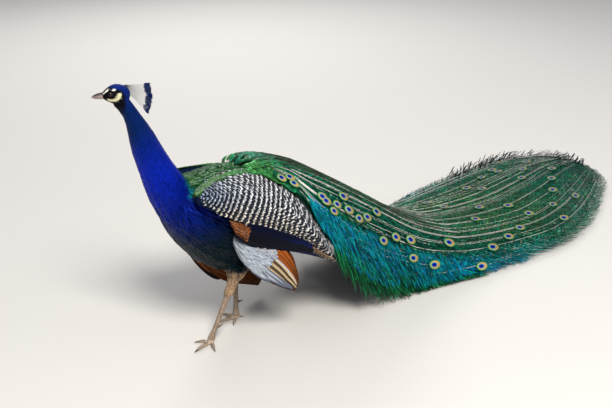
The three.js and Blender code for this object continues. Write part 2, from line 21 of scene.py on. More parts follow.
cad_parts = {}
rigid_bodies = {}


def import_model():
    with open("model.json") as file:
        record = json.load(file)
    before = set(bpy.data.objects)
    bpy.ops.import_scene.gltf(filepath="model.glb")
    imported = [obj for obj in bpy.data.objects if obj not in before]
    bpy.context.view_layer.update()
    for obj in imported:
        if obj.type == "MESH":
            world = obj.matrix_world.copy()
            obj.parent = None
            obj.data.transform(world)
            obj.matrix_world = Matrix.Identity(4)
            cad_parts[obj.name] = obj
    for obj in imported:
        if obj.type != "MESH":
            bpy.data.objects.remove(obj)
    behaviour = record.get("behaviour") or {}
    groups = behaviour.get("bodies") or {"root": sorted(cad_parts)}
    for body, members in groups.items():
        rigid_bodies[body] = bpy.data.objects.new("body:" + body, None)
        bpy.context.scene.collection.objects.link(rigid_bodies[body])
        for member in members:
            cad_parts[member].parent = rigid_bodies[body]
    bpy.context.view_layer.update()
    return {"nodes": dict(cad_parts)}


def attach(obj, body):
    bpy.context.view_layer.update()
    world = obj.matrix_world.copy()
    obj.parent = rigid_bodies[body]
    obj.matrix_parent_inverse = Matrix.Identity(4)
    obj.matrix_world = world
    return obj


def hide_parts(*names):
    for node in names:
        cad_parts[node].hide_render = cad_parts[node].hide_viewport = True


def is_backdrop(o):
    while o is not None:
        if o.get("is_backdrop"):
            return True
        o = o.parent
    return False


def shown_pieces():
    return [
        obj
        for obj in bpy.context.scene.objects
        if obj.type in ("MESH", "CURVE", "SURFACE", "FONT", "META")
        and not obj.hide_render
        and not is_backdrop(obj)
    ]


for leftover in list(bpy.data.objects):
    bpy.data.objects.remove(leftover)
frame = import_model()
FEET = np.array([-0.726265, -0.041155, 0.0])  # midway between the feet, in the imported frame
scene = bpy.context.scene
rng = np.random.default_rng(7)

# %% [markdown]
# ## The camera
# About 1.2 m up and 2 m away, looking down at the bird from ahead of its left side.
# The lens is a little longer than normal, so the nearer neck isn't swollen against the far train.

# %% Camera
EYE_LEVEL = 1.233
CAMERA_PLACE = FEET + np.array([-1.135, -1.716, EYE_LEVEL])
LOOK_DOWN = 23.106  # degrees below level
LOOK_WAY = -39.5  # degrees round the upright, from +Y
LENS = 52.94  # mm, on a 36 mm sensor
camera = bpy.data.objects.new("camera", bpy.data.cameras.new("camera"))
camera.data.lens = LENS
camera.location = CAMERA_PLACE
camera.rotation_euler = (math.radians(90 - LOOK_DOWN), 0, math.radians(LOOK_WAY))
scene.collection.objects.link(camera)
scene.camera = camera

# %% [markdown]
# ## Floor and light
# A plain pale floor catches the shadow. One broad lamp above and ahead of the bird gives the plumage its
# long soft highlights, a weaker one nearer the tail opens the shadows, and one from its right draws the
# edges of the train. Large lamps are what make glossy feathers look silky instead of wet.

# %% Floor and lamps
def plain_material(name, colour, roughness):
    material = bpy.data.materials.new(name)
    material.use_nodes = True
    shader = material.node_tree.nodes["Principled BSDF"]
    shader.inputs["Base Color"].default_value = (*colour, 1)
    shader.inputs["Roughness"].default_value = roughness
    return material


def area_lamp(name, place, aim, size, power, colour=(1, 1, 1)):
    lamp = bpy.data.objects.new(name, bpy.data.lights.new(name, "AREA"))
    lamp.data.shape = "DISK"
    lamp.data.size = size
    lamp.data.energy = power
    lamp.data.color = colour
    lamp.location = place
    lamp.rotation_euler = (Vector(aim) - Vector(place)).to_track_quat("-Z", "Y").to_euler()
    scene.collection.objects.link(lamp)


FLOOR_HALF = 14.0
floor_mesh = bpy.data.meshes.new("floor")
corners = [(-FLOOR_HALF, -FLOOR_HALF, 0), (FLOOR_HALF, -FLOOR_HALF, 0), (FLOOR_HALF, FLOOR_HALF, 0),
           (-FLOOR_HALF, FLOOR_HALF, 0)]
floor_mesh.from_pydata(corners, [], [(0, 1, 2, 3)])
floor = bpy.data.objects.new("floor", floor_mesh)
scene.collection.objects.link(floor)
floor_mesh.materials.append(plain_material("pale floor", (0.62, 0.60, 0.57), 0.9))
floor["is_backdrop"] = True

area_lamp("key", (-1.6, -2.6, 3.6), (0.1, 0, 0.2), 1.5, 230, (1.0, 0.97, 0.91))
area_lamp("fill", (2.8, -3.0, 1.9), (0.3, 0, 0.1), 3.0, 40, (0.92, 0.96, 1.0))
area_lamp("back", (1.4, 3.4, 2.8), (0.2, 0, 0.1), 2.2, 95, (1.0, 0.98, 0.95))
world = bpy.data.worlds.new("studio")
world.use_nodes = True
world.node_tree.nodes["Background"].inputs["Color"].default_value = (0.86, 0.90, 1.0, 1)
world.node_tree.nodes["Background"].inputs["Strength"].default_value = 0.42
scene.world = world
scene.view_settings.view_transform = "Standard"

# %% [markdown]
# ## Smooth curves through a few stations
# The neck, the wings and the train were drawn as smooth curves through a handful of stations. The same
# kind of curve is read here, so that each feather can be laid exactly on the surface that it belongs to.

# %% Curve and vector helpers
MM = 0.001


def through(stations, share):
    """Stations in mm, read at a share of the way along: the value on a smooth curve through them."""
    p = np.asarray(stations, float)
    single = p.ndim == 1
    if single:
        p = np.stack([np.linspace(0, 1, len(p)), p], 1)
    last = len(p) - 1
    t = np.clip(np.asarray(share, float), 0, 1) * last
    i = np.minimum(t.astype(int), last - 1)
    f = (t - i)[..., None]
    longer = np.vstack([2 * p[0] - p[1], p, 2 * p[-1] - p[-2]])
    step = np.sqrt(np.maximum(np.linalg.norm(np.diff(longer, axis=0), axis=1), 1e-4))
    a, b, c, d = (longer[i + k] for k in range(4))
    before, here, after = (step[i + k][..., None] for k in range(3))
    lean_b = here * ((b - a) / before - (c - a) / (before + here)) + c - b
    lean_c = c - b - here * ((d - b) / (here + after) - (d - c) / after)
    square, cube = 3 * (c - b) - 2 * lean_b - lean_c, 2 * (b - c) + lean_b + lean_c
    curve = b + lean_b * f + square * f**2 + cube * f**3
    return curve[..., 1] if single else curve


def unit(v):
    return v / np.maximum(np.linalg.norm(v, axis=-1, keepdims=True), 1e-9)


def flat_to(v, normal):
    """The part of v that lies in the surface with this normal, as a unit vector."""
    return unit(v - (v * normal).sum(-1, keepdims=True) * normal)


def ramp(x, low, high):
    """0 below low, 1 above high, and smooth between."""
    t = np.clip((np.asarray(x, float) - low) / (high - low), 0, 1)
    return t * t * (3 - 2 * t)


def blend(a, b, share):
    share = np.asarray(share, float)[..., None]
    return np.asarray(a, float) * (1 - share) + np.asarray(b, float) * share


def new_object(name, vertices, faces, material=None):
    """A mesh object from points given from between the feet."""
    mesh = bpy.data.meshes.new(name)
    mesh.from_pydata((np.asarray(vertices, float) + FEET).tolist(), [], [tuple(map(int, f)) for f in faces])
    if material is not None:
        mesh.materials.append(material)
    smooth_faces(mesh)
    made = bpy.data.objects.new(name, mesh)
    scene.collection.objects.link(made)
    return made


def smooth_faces(mesh):
    mesh.polygons.foreach_set("use_smooth", [True] * len(mesh.polygons))


def points_of(mesh):
    co = np.empty(len(mesh.vertices) * 3, np.float32)
    mesh.vertices.foreach_get("co", co)
    return co.reshape(-1, 3).astype(float) - FEET


def store(mesh, name, values, kind="FLOAT_VECTOR", domain="POINT"):
    layer = mesh.attributes.get(name) or mesh.attributes.new(name, kind, domain)
    field = {"FLOAT": "value", "FLOAT_COLOR": "color"}.get(kind, "vector")
    values = np.asarray(values, np.float32)
    if kind == "FLOAT_COLOR":
        values = np.concatenate([values, np.ones((len(values), 1), np.float32)], 1)
    layer.data.foreach_set(field, values.ravel())


def tidy_away(*objects):
    for o in objects:
        data = o.data
        bpy.data.objects.remove(o)
        if data is not None and data.users == 0:
            bpy.data.meshes.remove(data)


def evaluated_mesh(made):
    """The object's mesh with its modifiers applied, as plain data."""
    graph = bpy.context.evaluated_depsgraph_get()
    return bpy.data.meshes.new_from_object(made.evaluated_get(graph))


def apply_modifiers(made):
    """Puts the evaluated mesh in the place of the one that was drawn."""
    drawn = made.data
    made.data = evaluated_mesh(made)
    made.modifiers.clear()
    bpy.data.meshes.remove(drawn)
    return made.data


def triangle_count(made):
    return sum(len(p.vertices) - 2 for p in made.data.polygons)

# %% [markdown]
# ## One skin
# Under its feathers a bird is one body with no seams. The separate solids of the head, neck, trunk and
# legs are copied, joined and remeshed into cubes 1.7 mm wide, which closes the thin
# gaps between them, then smoothed until the facets go. The skin is drawn in by the depth of the coat
# that will lie on it: several millimetres on the body, hardly any on the face, and none on the bare legs.
# Last, the mesh is thinned where it is flat, so that the toes and face keep the finest net.

# %% Joined and smoothed copies of solids
def joined_copy(name, nodes):
    gathered = bmesh.new()
    for node in nodes:
        gathered.from_mesh(frame["nodes"][node].data)
    bmesh.ops.remove_doubles(gathered, verts=gathered.verts, dist=1e-5)
    mesh = bpy.data.meshes.new(name)
    gathered.to_mesh(mesh)
    gathered.free()
    made = bpy.data.objects.new(name, mesh)
    scene.collection.objects.link(made)
    return made


def softened(name, nodes, voxel, rounds):
    """The nodes as one smooth closed mesh."""
    rough = joined_copy(name + "_rough", nodes)
    remesh = rough.modifiers.new("remesh", "REMESH")
    remesh.mode = "VOXEL"
    remesh.voxel_size = voxel
    smooth = rough.modifiers.new("smooth", "SMOOTH")
    smooth.factor = 0.5
    smooth.iterations = rounds
    mesh = evaluated_mesh(rough)
    tidy_away(rough)
    made = bpy.data.objects.new(name, mesh)
    mesh.name = name
    scene.collection.objects.link(made)
    return made


FLESH = ["head", "neck_upper", "neck_lower", "breast", "trunk", "rump"]
LEG_NODES = [f"{part}_{side}" for side in ("left", "right") for part in ("thigh", "shank")]
TOE_NODES = [n for n in frame["nodes"] if n.startswith("toe_")]
SKIN_NODES = FLESH + LEG_NODES + TOE_NODES
SKIN_CUBE, SKIN_ROUNDS, SKIN_TRIANGLES = 0.0017, 10, 74000
skin = softened("skin", SKIN_NODES, SKIN_CUBE, SKIN_ROUNDS)
print("skin before thinning:", triangle_count(skin))

# %% [markdown]
# The coat follows a line through the middle of the body, from the root of the bill over the neck to the
# tail. For any point on the skin, the nearest place on that line says how far along the bird it is,
# which gives the length, lie and colour of the feathers there.

# %% The line along the body, and the legs' lines
BODY_LINE = np.array([
    (-0.292, 0, 0.688), (-0.262, 0, 0.692), (-0.243, 0, 0.676), (-0.225, 0, 0.645), (-0.208, 0, 0.605),
    (-0.194, 0, 0.560), (-0.178, 0, 0.515), (-0.158, 0, 0.465), (-0.130, 0, 0.415), (-0.085, 0, 0.365),
    (-0.020, 0, 0.325), (0.070, 0, 0.318), (0.160, 0, 0.335), (0.290, 0, 0.335)])
LEG_LINES = {
    "left": np.array([(0.026, -0.062, 0.250), (-0.017, -0.056, 0.143), (-0.061, -0.031, 0.0)]),
    "right": np.array([(0.074, 0.060, 0.250), (0.080, 0.054, 0.140), (0.061, 0.030, 0.0)]),
}


def along_line(points, line):
    """For each point: how far along the line its nearest place is, the line's way there, and the distance."""
    best = np.full(len(points), 1e9)
    far = np.zeros(len(points))
    way = np.zeros((len(points), 3))
    steps = np.diff(line, axis=0)
    lengths = np.linalg.norm(steps, axis=1)
    for a, step, length, before in zip(line, steps, lengths, np.cumsum([0, *lengths])):
        t = np.clip(((points - a) @ step) / length**2, 0, 1)
        gap = np.linalg.norm(points - (a + t[:, None] * step), axis=1)
        nearer = gap < best
        best = np.where(nearer, gap, best)
        far = np.where(nearer, before + t * length, far)
        way = np.where(nearer[:, None], step / length, way)
    return far, way, best


def body_reading(points):
    """Distance along the body, the smoothed way along it, and whether a point belongs to a leg."""
    far, _, gap = along_line(points, BODY_LINE)
    lengths = np.linalg.norm(np.diff(BODY_LINE, axis=0), axis=1)
    reach = np.concatenate([[0], np.cumsum(lengths)])
    steps = unit(np.gradient(BODY_LINE, axis=0))
    way = unit(np.stack([np.interp(far, reach, steps[:, k]) for k in range(3)], 1))
    leg = np.zeros(len(points))
    for line in LEG_LINES.values():
        _, leg_way, leg_gap = along_line(points, line)
        here = ramp(0.205 - points[:, 2] + 0.15 * (0.03 - leg_gap), -0.012, 0.012) * (leg_gap < 0.06)
        leg = np.maximum(leg, here)
        way = unit(way * (1 - here[:, None]) + leg_way * here[:, None])
    return far, way, leg, gap


line_length = np.linalg.norm(np.diff(BODY_LINE, axis=0), axis=1).sum()
print("the body's line is", round(float(line_length), 3), "m long")

# %% [markdown]
# ## Drawing the skin in, and the face
# The head is thought of along its own axis: how far ahead towards the bill, how far to the side, and how
# far up. The eye sits in a shallow hollow between lids, and the bare patches of the face stand a little
# proud because they are soft skin with no down under them.

# %% The head's own axes, in mm
HEAD_PLACE = np.array([-0.253, 0.001, 0.687])
HEAD_YAW, HEAD_PITCH = 10, 3
EYE_AHEAD, EYE_UP, EYE_SIDE, EYE_RADIUS = 15.5, 3.6, 12.6, 5.6


def head_axes():
    turn, tip = math.radians(180 - HEAD_YAW), math.radians(-HEAD_PITCH)
    about_z = np.array([(math.cos(turn), -math.sin(turn), 0), (math.sin(turn), math.cos(turn), 0), (0, 0, 1)])
    about_y = np.array([(math.cos(tip), 0, math.sin(tip)), (0, 1, 0), (-math.sin(tip), 0, math.cos(tip))])
    return about_z @ about_y


HEAD_AXES = head_axes()


def in_head(places):
    return HEAD_PLACE + np.asarray(places, float) * MM @ HEAD_AXES.T


def to_head(points):
    return (points - HEAD_PLACE) @ HEAD_AXES / MM


def around_eye(points):
    """Millimetres from the eye's centre, degrees from straight back of it, and the places in the head."""
    h = to_head(points)
    ahead, up = h[:, 0] - EYE_AHEAD, h[:, 2] - EYE_UP
    return np.hypot(ahead, up), np.degrees(np.arctan2(up, -ahead)), h


def band(x, low, high, soft):
    return ramp(x, low - soft, low + soft) * (1 - ramp(x, high - soft, high + soft))


def face_marks(points):
    """Shares of bare pale skin and of black, at each point of the face."""
    r, angle, h = around_eye(points)
    outer = np.interp(angle, [-130, -120, -75, -30, 0, 14], [13, 15, 18, 21.5, 23, 20])
    inner = np.interp(angle, [-130, -60, 0, 14], [11.5, 9.6, 10.5, 13])
    cheek = band(r, inner, outer, 0.6) * band(angle, -127, 12, 4)
    t = np.clip((h[:, 0] - 33) / (18 - 33), 0, 1)
    brow_up = 1.6 + 11.6 * t ** 0.85
    brow = band(h[:, 2], brow_up - 1.6, brow_up + 1.6, 0.4) * band(h[:, 0], 18.5, 37, 0.7)
    spot = 1 - ramp(np.hypot((h[:, 0] - 9.5) / 4.4, (h[:, 2] - 13.0) / 2.0), 0.85, 1.15)
    pale = np.maximum.reduce([cheek, brow, spot]) * ramp(np.abs(h[:, 1]), 2.0, 4.5)
    low_line = np.interp(h[:, 0], [-30, -16, -6, 18, 36], [-20, -4, 11, 15, 5])
    black = (1 - ramp(h[:, 2], low_line - 2, low_line + 3)) * ramp(h[:, 0], -19, -9)
    return pale, black, cheek


# %% Skin drawn in under the coat
def coat_depth(points):
    """How thick the coat lies, in metres, with nothing on the bare shanks and toes."""
    far, _, leg, _ = body_reading(points)
    depth = np.interp(far, [0, 0.05, 0.075, 0.15, 0.25, 0.40, 0.80], [0.7, 0.8, 1.4, 2.6, 4, 6, 6]) * MM
    thigh = 4 * MM * ramp(points[:, 2], 0.138, 0.165)
    return depth * (1 - leg) + thigh * leg


def set_points(mesh, points):
    mesh.vertices.foreach_set("co", (points + FEET).astype(np.float32).ravel())
    mesh.update()


def normals_of(mesh):
    n = np.empty(len(mesh.vertices) * 3, np.float32)
    mesh.vertex_normals.foreach_get("vector", n)
    return n.reshape(-1, 3).astype(float)


spots, normals = points_of(skin.data), normals_of(skin.data)
set_points(skin.data, spots - normals * coat_depth(spots)[:, None])
thin = skin.modifiers.new("thin", "DECIMATE")
thin.ratio = SKIN_TRIANGLES / triangle_count(skin)
apply_modifiers(skin)

face = bmesh.new()
face.from_mesh(skin.data)
on_face = to_head(np.array([v.co for v in face.verts]) - FEET)
near_bill = [v for v, h in zip(face.verts, on_face) if h[0] > -30 and abs(h[2]) < 28 and abs(h[1]) < 24]
picked = set(near_bill)
bmesh.ops.subdivide_edges(face, edges=[e for e in face.edges if set(e.verts) <= picked], cuts=1,
                          use_grid_fill=True)
bmesh.ops.triangulate(face, faces=[f for f in face.faces if len(f.verts) > 3])
face.to_mesh(skin.data)
face.free()

spots, normals = points_of(skin.data), normals_of(skin.data)
r, angle, h = around_eye(spots)
pale, black, cheek = face_marks(spots)
side_face = ramp(np.abs(h[:, 1]), 3, 7) * (np.abs(h[:, 0]) < 45)
socket = 1.6 * (1 - ramp(r, 5.6, 9.5)) * side_face
lid_swell = 0.5 * band(r, 6.4, 8.6, 0.8) * side_face
puffed = 0.7 * cheek * side_face
set_points(skin.data, spots + normals * ((lid_swell + puffed - socket) * MM)[:, None])
print("skin:", triangle_count(skin), "triangles")

# %% [markdown]
# ## Reading the skin's surface
# Feathers follow the surface they grow from. A tree of the skin's triangles answers, for any place near
# the body, where the nearest skin is and which way it faces.

# %% Surface finder
def surface_finder(made):
    mesh = made.data
    mesh.calc_loop_triangles()
    triangles = [tuple(t.vertices) for t in mesh.loop_triangles]
    tree = BVHTree.FromPolygons([tuple(p) for p in points_of(mesh)], triangles)

    def nearest(points):
        found = [tree.find_nearest(Vector(p)) for p in points]
        return np.array([f[0] for f in found]), np.array([f[1] for f in found])

    return nearest


on_skin = surface_finder(skin)

# %% [markdown]
# ## Colours by place
# The skin and the feathers over it have to carry the same markings, so one function answers for both: at
# any point it gives the main colour and the colour of a feather's rim. The neck is a deep blue that turns
# to black-green under the breast, the mantle is green with gilded rims, the thighs are buff.

# %% Colours
def paint(red, green, blue):
    """A colour as seen, from 0 to 255, as the shader's linear light."""
    return (np.array([red, green, blue]) / 255) ** 2.2


# the neck's blue from the crown down to the breast: metres along the body's line, and the colour there
BLUE_RUN = [(0.02, paint(8, 44, 142)), (0.08, paint(4, 44, 112)), (0.13, paint(2, 44, 112)),
            (0.17, paint(3, 42, 152)), (0.24, paint(3, 42, 186)), (0.32, paint(3, 34, 142)),
            (0.40, paint(3, 32, 106))]
THROAT_GREEN = paint(2, 40, 50)
BREAST_DARK = paint(2, 30, 38)
TURQUOISE = paint(0, 124, 112)
MANTLE_GREEN = paint(4, 66, 42)
GILT = paint(84, 138, 62)
BACK_GILT = paint(92, 190, 98)
VENT_BROWN = paint(46, 36, 28)
BUFF = paint(186, 156, 124)
BARE_WHITE = paint(226, 226, 214)
BARE_CREAM = paint(204, 200, 160)
FACE_BLACK = paint(5, 8, 18)


def body_colours(points):
    far, _, leg, _ = body_reading(points)
    x, y, z = points.T
    stops, run = zip(*BLUE_RUN)
    tint = np.stack([np.interp(far, stops, np.array(run)[:, k]) for k in range(3)], 1)
    forward = ramp(-(x + 0.235) - 0.42 * (z - 0.60), -0.03, 0.02)
    tint = blend(tint, THROAT_GREEN, forward * (1 - ramp(far, 0.10, 0.20)) * 0.85)
    under = ramp(0.372 - z + 0.30 * (x + 0.12), -0.05, 0.085) * ramp(far, 0.26, 0.36)
    tint = blend(tint, BREAST_DARK, under)
    rim = tint * 1.12 + (0, 0.002, 0.01)
    high = ramp(z, 0.424, 0.434)
    line = x + 0.108 + 0.012 * ramp(np.abs(y), 0.03, 0.09)
    mantle = ramp(line, -0.006, 0.006) * high
    edge = band(line, -0.010, 0.004, 0.006) * high
    tint = blend(tint, TURQUOISE, edge * 0.8)
    back = ramp(x, -0.02, 0.05)
    tint = blend(tint, blend(MANTLE_GREEN, MANTLE_GREEN * 0.9 + GILT * 0.15, back), mantle)
    rim = blend(blend(tint * 1.2, GILT, mantle), BACK_GILT, mantle * back)
    vent = ramp(x, 0.10, 0.16) * (1 - high)
    tint, rim = blend(tint, VENT_BROWN, vent), blend(rim, VENT_BROWN * 1.4, vent)
    tint, rim = blend(tint, BUFF, leg), blend(rim, BUFF * 1.15, leg)
    pale, black, cheek = face_marks(points)
    head = (1 - ramp(far, 0.058, 0.098)) * (leg < 0.5)
    bare = blend(BARE_WHITE, BARE_CREAM, cheek)
    tint = blend(tint, FACE_BLACK, black * head)
    tint = blend(tint, bare, pale * head)
    rim = blend(rim, tint, head)
    return tint, rim


LEG_GREY = paint(176, 156, 138)
tint, rim = body_colours(points_of(skin.data))
spots = points_of(skin.data)
_, _, leg, _ = body_reading(spots)
bare_leg = leg * (1 - ramp(spots[:, 2], 0.140, 0.152))
# Under the feathers the skin is painted half as dark as the plumage over it, as painted shade under the coat.
# The bare pale face keeps its own colour.
shaded_under_coat = blend(tint, tint * 0.5, 1 - face_marks(spots)[0])
store(skin.data, "tint", blend(shaded_under_coat, LEG_GREY, bare_leg), "FLOAT_COLOR")
store(skin.data, "scaly", bare_leg, "FLOAT")
store(skin.data, "bare", face_marks(spots)[0], "FLOAT")

# %% [markdown]
# ## Short words for building node trees
# Both the Geometry Nodes and the shader trees below are written with the same small helper. It adds a node,
# sets its choices, and links or fills its inputs in one line.

# %% Node helper
class Graph:
    def __init__(self, tree):
        self.tree = tree

    def node(self, kind, inputs=None, **settings):
        made = self.tree.nodes.new(kind)
        for name, value in settings.items():
            setattr(made, name, value)
        for key, value in (inputs or {}).items():
            if isinstance(value, bpy.types.NodeSocket):
                self.tree.links.new(value, made.inputs[key])
            else:
                made.inputs[key].default_value = value
        return made

    def out(self, kind, inputs=None, key=0, **settings):
        return self.node(kind, inputs, **settings).outputs[key]

    def sum(self, operation, *values):
        return self.out("ShaderNodeMath", dict(enumerate(values)), operation=operation)

    def vector_sum(self, operation, *values):
        return self.out("ShaderNodeVectorMath", dict(enumerate(values)), operation=operation)

    def step(self, value, low, high, to_low=0.0, to_high=1.0):
        inputs = {"Value": value, "From Min": low, "From Max": high, "To Min": to_low, "To Max": to_high}
        return self.out("ShaderNodeMapRange", inputs, interpolation_type="SMOOTHSTEP")

    def mix(self, share, a, b, blend_type="MIX"):
        made = self.node("ShaderNodeMix", data_type="RGBA", blend_type=blend_type)
        for socket, value in ((made.inputs[0], share), (made.inputs[6], a), (made.inputs[7], b)):
            if isinstance(value, bpy.types.NodeSocket):
                self.tree.links.new(value, socket)
            elif isinstance(value, (int, float)):
                socket.default_value = value
            else:
                socket.default_value = (*value, 1)
        return made.outputs[2]

    def lit(self, colour, light):
        """The colour, made lighter or darker by a number."""
        grey = self.out("ShaderNodeCombineColor", {0: light, 1: light, 2: light})
        return self.mix(1.0, colour, grey, "MULTIPLY")

    def attribute(self, name, key="Vector"):
        return self.out("ShaderNodeAttribute", key=key, attribute_name=name)

    def noise(self, vector, scale, detail=2.0, roughness=0.5):
        inputs = {"Vector": vector, "Scale": scale, "Detail": detail, "Roughness": roughness}
        return self.out("ShaderNodeTexNoise", inputs, key="Fac")


def node_group(name, kind, inputs, outputs):
    """A group with named sockets. An input is (name, type, default) and an output is (name, type)."""
    tree = bpy.data.node_groups.new(name, kind)
    for label, socket_type, default in inputs:
        socket = tree.interface.new_socket(label, in_out="INPUT", socket_type=socket_type)
        if default is not None:
            socket.default_value = default
    for label, socket_type in outputs:
        tree.interface.new_socket(label, in_out="OUTPUT", socket_type=socket_type)
    entry, leaving = tree.nodes.new("NodeGroupInput"), tree.nodes.new("NodeGroupOutput")
    return tree, Graph(tree), entry.outputs, leaving.inputs

# %% [markdown]
# ## One feather
# A feather is a thin closed blade: a stalk end, a few cross sections, and a tip. Each section is a low
# arch over a flat underside, so a blade that is repeated thousands of times has only twelve or eighteen
# triangles.
# Every point remembers its place on the vane, along from 0 to 1 and across from -1 to 1. The materials
# draw barbs, bars and rims from that.

# %% Blade maker
def make_blade(name, stations, halves, across=3, dish=0.0):
    """stations: shares of the length; halves: half widths there, 0.5 at the widest."""
    vanes = np.linspace(-1, 1, across)
    points, places, faces = [(0.0, 0.0, 0.0)], [(0.0, 0.0, 0.0)], []
    for u, half in zip(stations, halves):
        for v in vanes:
            points.append((u, v * half, (1 - v * v) * 0.5 - dish * v * v))
            places.append((u, v, 0.0))
    tip = len(points)
    points.append((1.0, 0.0, 0.0))
    places.append((1.0, 0.0, 0.0))
    rings = [list(range(1 + across * i, 1 + across * (i + 1))) for i in range(len(stations))]
    ring_pairs = [(i, (i + 1) % across) for i in range(across)]
    for i, j in ring_pairs:
        faces.append((0, rings[0][j], rings[0][i]))
        faces.append((tip, rings[-1][i], rings[-1][j]))
        for a, b in zip(rings, rings[1:]):
            faces.append((a[i], a[j], b[j], b[i]))
    mesh = bpy.data.meshes.new(name)
    mesh.from_pydata(points, [], faces)
    shell = bmesh.new()
    shell.from_mesh(mesh)
    bmesh.ops.triangulate(shell, faces=shell.faces[:])
    bmesh.ops.recalc_face_normals(shell, faces=shell.faces[:])
    open_edges = [e for e in shell.edges if len(e.link_faces) != 2]
    shell.to_mesh(mesh)
    shell.free()
    smooth_faces(mesh)
    store(mesh, "vane", places)
    made = bpy.data.objects.new(name, mesh)
    print("blade", name, len(mesh.polygons), "triangles, open edges", len(open_edges))
    return made


SCALE_BLADE = make_blade("scale_blade", [0.18, 0.5, 0.82], [0.30, 0.5, 0.42])
HAIR_BLADE = make_blade("hair_blade", [0.25, 0.7], [0.5, 0.36])
COVERT_BLADE = make_blade("covert_blade", [0.1, 0.32, 0.58, 0.8, 0.94], [0.24, 0.4, 0.5, 0.46, 0.26],
                          across=5)
QUILL_STATIONS = [0.02, 0.08, 0.2, 0.35, 0.5, 0.65, 0.78, 0.88, 0.95, 0.985]
QUILL_HALVES = [0.06, 0.22, 0.40, 0.47, 0.5, 0.5, 0.47, 0.40, 0.27, 0.13]
QUILL_BLADE = make_blade("quill_blade", QUILL_STATIONS, QUILL_HALVES, across=7)
HERL_BLADE = make_blade("herl_blade", [0.25, 0.7], [0.5, 0.40])

# %% [markdown]
# ## Scattering roots and planting feathers
# Two Geometry Nodes trees do the repeating. The first scatters roots on a surface with a least distance
# between them, as follicles are spaced. The second plants a blade on each root: it turns the blade to lie
# along the coat, scales it, makes the instances real, bends each one along its own curve, and gives each
# its small patch on the map used to record its finish. The patch is at the root's own place on the body's
# unwrap, because a tuft and the skin beneath it share their colour.

# %% Tree: roots
NUMBER, WHOLE = "NodeSocketFloat", "NodeSocketInt"
GEOMETRY, THING, FINISH = "NodeSocketGeometry", "NodeSocketObject", "NodeSocketMaterial"


def build_roots_tree():
    tree, g, given, result = node_group(
        "scatter roots", "GeometryNodeTree",
        [("Geometry", GEOMETRY, None), ("Least Distance", NUMBER, 0.01), ("Most", NUMBER, 1e5),
         ("Seed", WHOLE, 1)],
        [("Geometry", GEOMETRY)])
    share = g.out("GeometryNodeInputNamedAttribute", {"Name": "share"}, key="Attribute", data_type="FLOAT")
    inputs = {"Mesh": given["Geometry"], "Distance Min": given["Least Distance"],
              "Density Max": given["Most"],
              "Density Factor": share, "Seed": given["Seed"]}
    points = g.node("GeometryNodeDistributePointsOnFaces", inputs, distribute_method="POISSON")
    inputs = {"Geometry": points.outputs["Points"], "Name": "facing", "Value": points.outputs["Normal"]}
    named = g.out("GeometryNodeStoreNamedAttribute", inputs, data_type="FLOAT_VECTOR", domain="POINT")
    corners = g.out("GeometryNodePointsToVertices", {"Points": named})
    g.tree.links.new(corners, result["Geometry"])
    return tree


def use_tree(made, tree, **values):
    """Puts a tree on an object as a modifier and sets its inputs by their sockets' identifiers."""
    modifier = made.modifiers.new(tree.name, "NODES")
    modifier.node_group = tree
    for item in tree.interface.items_tree:
        if item.item_type == "SOCKET" and item.in_out == "INPUT" and item.name in values:
            modifier[item.identifier] = values[item.name]
    return modifier


ROOTS = build_roots_tree()


def read(mesh, name, width=3):
    values = np.empty(len(mesh.attributes[name].data) * width, np.float32)
    mesh.attributes[name].data.foreach_get("vector" if width == 3 else "value", values)
    return values.reshape(-1, width).astype(float) if width > 1 else values.astype(float)


def scatter(ground, share, distance, seed, place=None):
    """Roots on the ground object: their points, normals, and place if one was given for each vertex."""
    bed = bpy.data.objects.new("bed", ground.data.copy())
    scene.collection.objects.link(bed)
    store(bed.data, "share", share, "FLOAT")
    if place is not None:
        store(bed.data, "place", place)
    use_tree(bed, ROOTS, **{"Least Distance": distance, "Most": 1.6 / distance**2, "Seed": seed})
    mesh = evaluated_mesh(bed)
    found = points_of(mesh), unit(read(mesh, "facing"))
    if place is not None:
        found += (read(mesh, "place"),)
    tidy_away(bed)
    bpy.data.meshes.remove(mesh)
    return found

# %% Tree: plumage
PATCH = 0.003


def build_plumage_tree():
    tree, g, given, result = node_group(
        "plumage", "GeometryNodeTree",
        [("Geometry", GEOMETRY, None), ("Blade", THING, None), ("Finish", FINISH, None)],
        [("Geometry", GEOMETRY)])

    def named(name, key="FLOAT_VECTOR"):
        return g.out("GeometryNodeInputNamedAttribute", {"Name": name}, key="Attribute", data_type=key)

    blade = g.out("GeometryNodeObjectInfo", {"Object": given["Blade"]}, key="Geometry")
    inputs = {"Primary Axis": named("lie"), "Secondary Axis": named("up")}
    turn = g.out("FunctionNodeAxesToRotation", inputs, primary_axis="X", secondary_axis="Z")
    inputs = {"Points": given["Geometry"], "Instance": blade, "Rotation": turn, "Scale": named("size")}
    planted = g.out("GeometryNodeInstanceOnPoints", inputs)
    real = g.out("GeometryNodeRealizeInstances", {"Geometry": planted})
    along = g.out("ShaderNodeSeparateXYZ", {"Vector": named("vane")}, key="X")
    squared = g.sum("MULTIPLY", along, along)
    bend = g.node("ShaderNodeVectorMath", {0: named("bend"), "Scale": squared}, operation="SCALE")
    bent = g.out("GeometryNodeSetPosition", {"Geometry": real, "Offset": bend.outputs[0]})
    on_patch = g.vector_sum("MULTIPLY", g.vector_sum("ADD", named("vane"), (0, 1, 0)), named("span"))
    inputs = {"Geometry": bent, "Name": "OFBake", "Value": g.vector_sum("ADD", on_patch, named("patch"))}
    mapped = g.out("GeometryNodeStoreNamedAttribute", inputs, data_type="FLOAT2", domain="CORNER")
    finished = g.out("GeometryNodeSetMaterial", {"Geometry": mapped, "Material": given["Finish"]})
    g.tree.links.new(finished, result["Geometry"])
    return tree


PLUMAGE = build_plumage_tree()


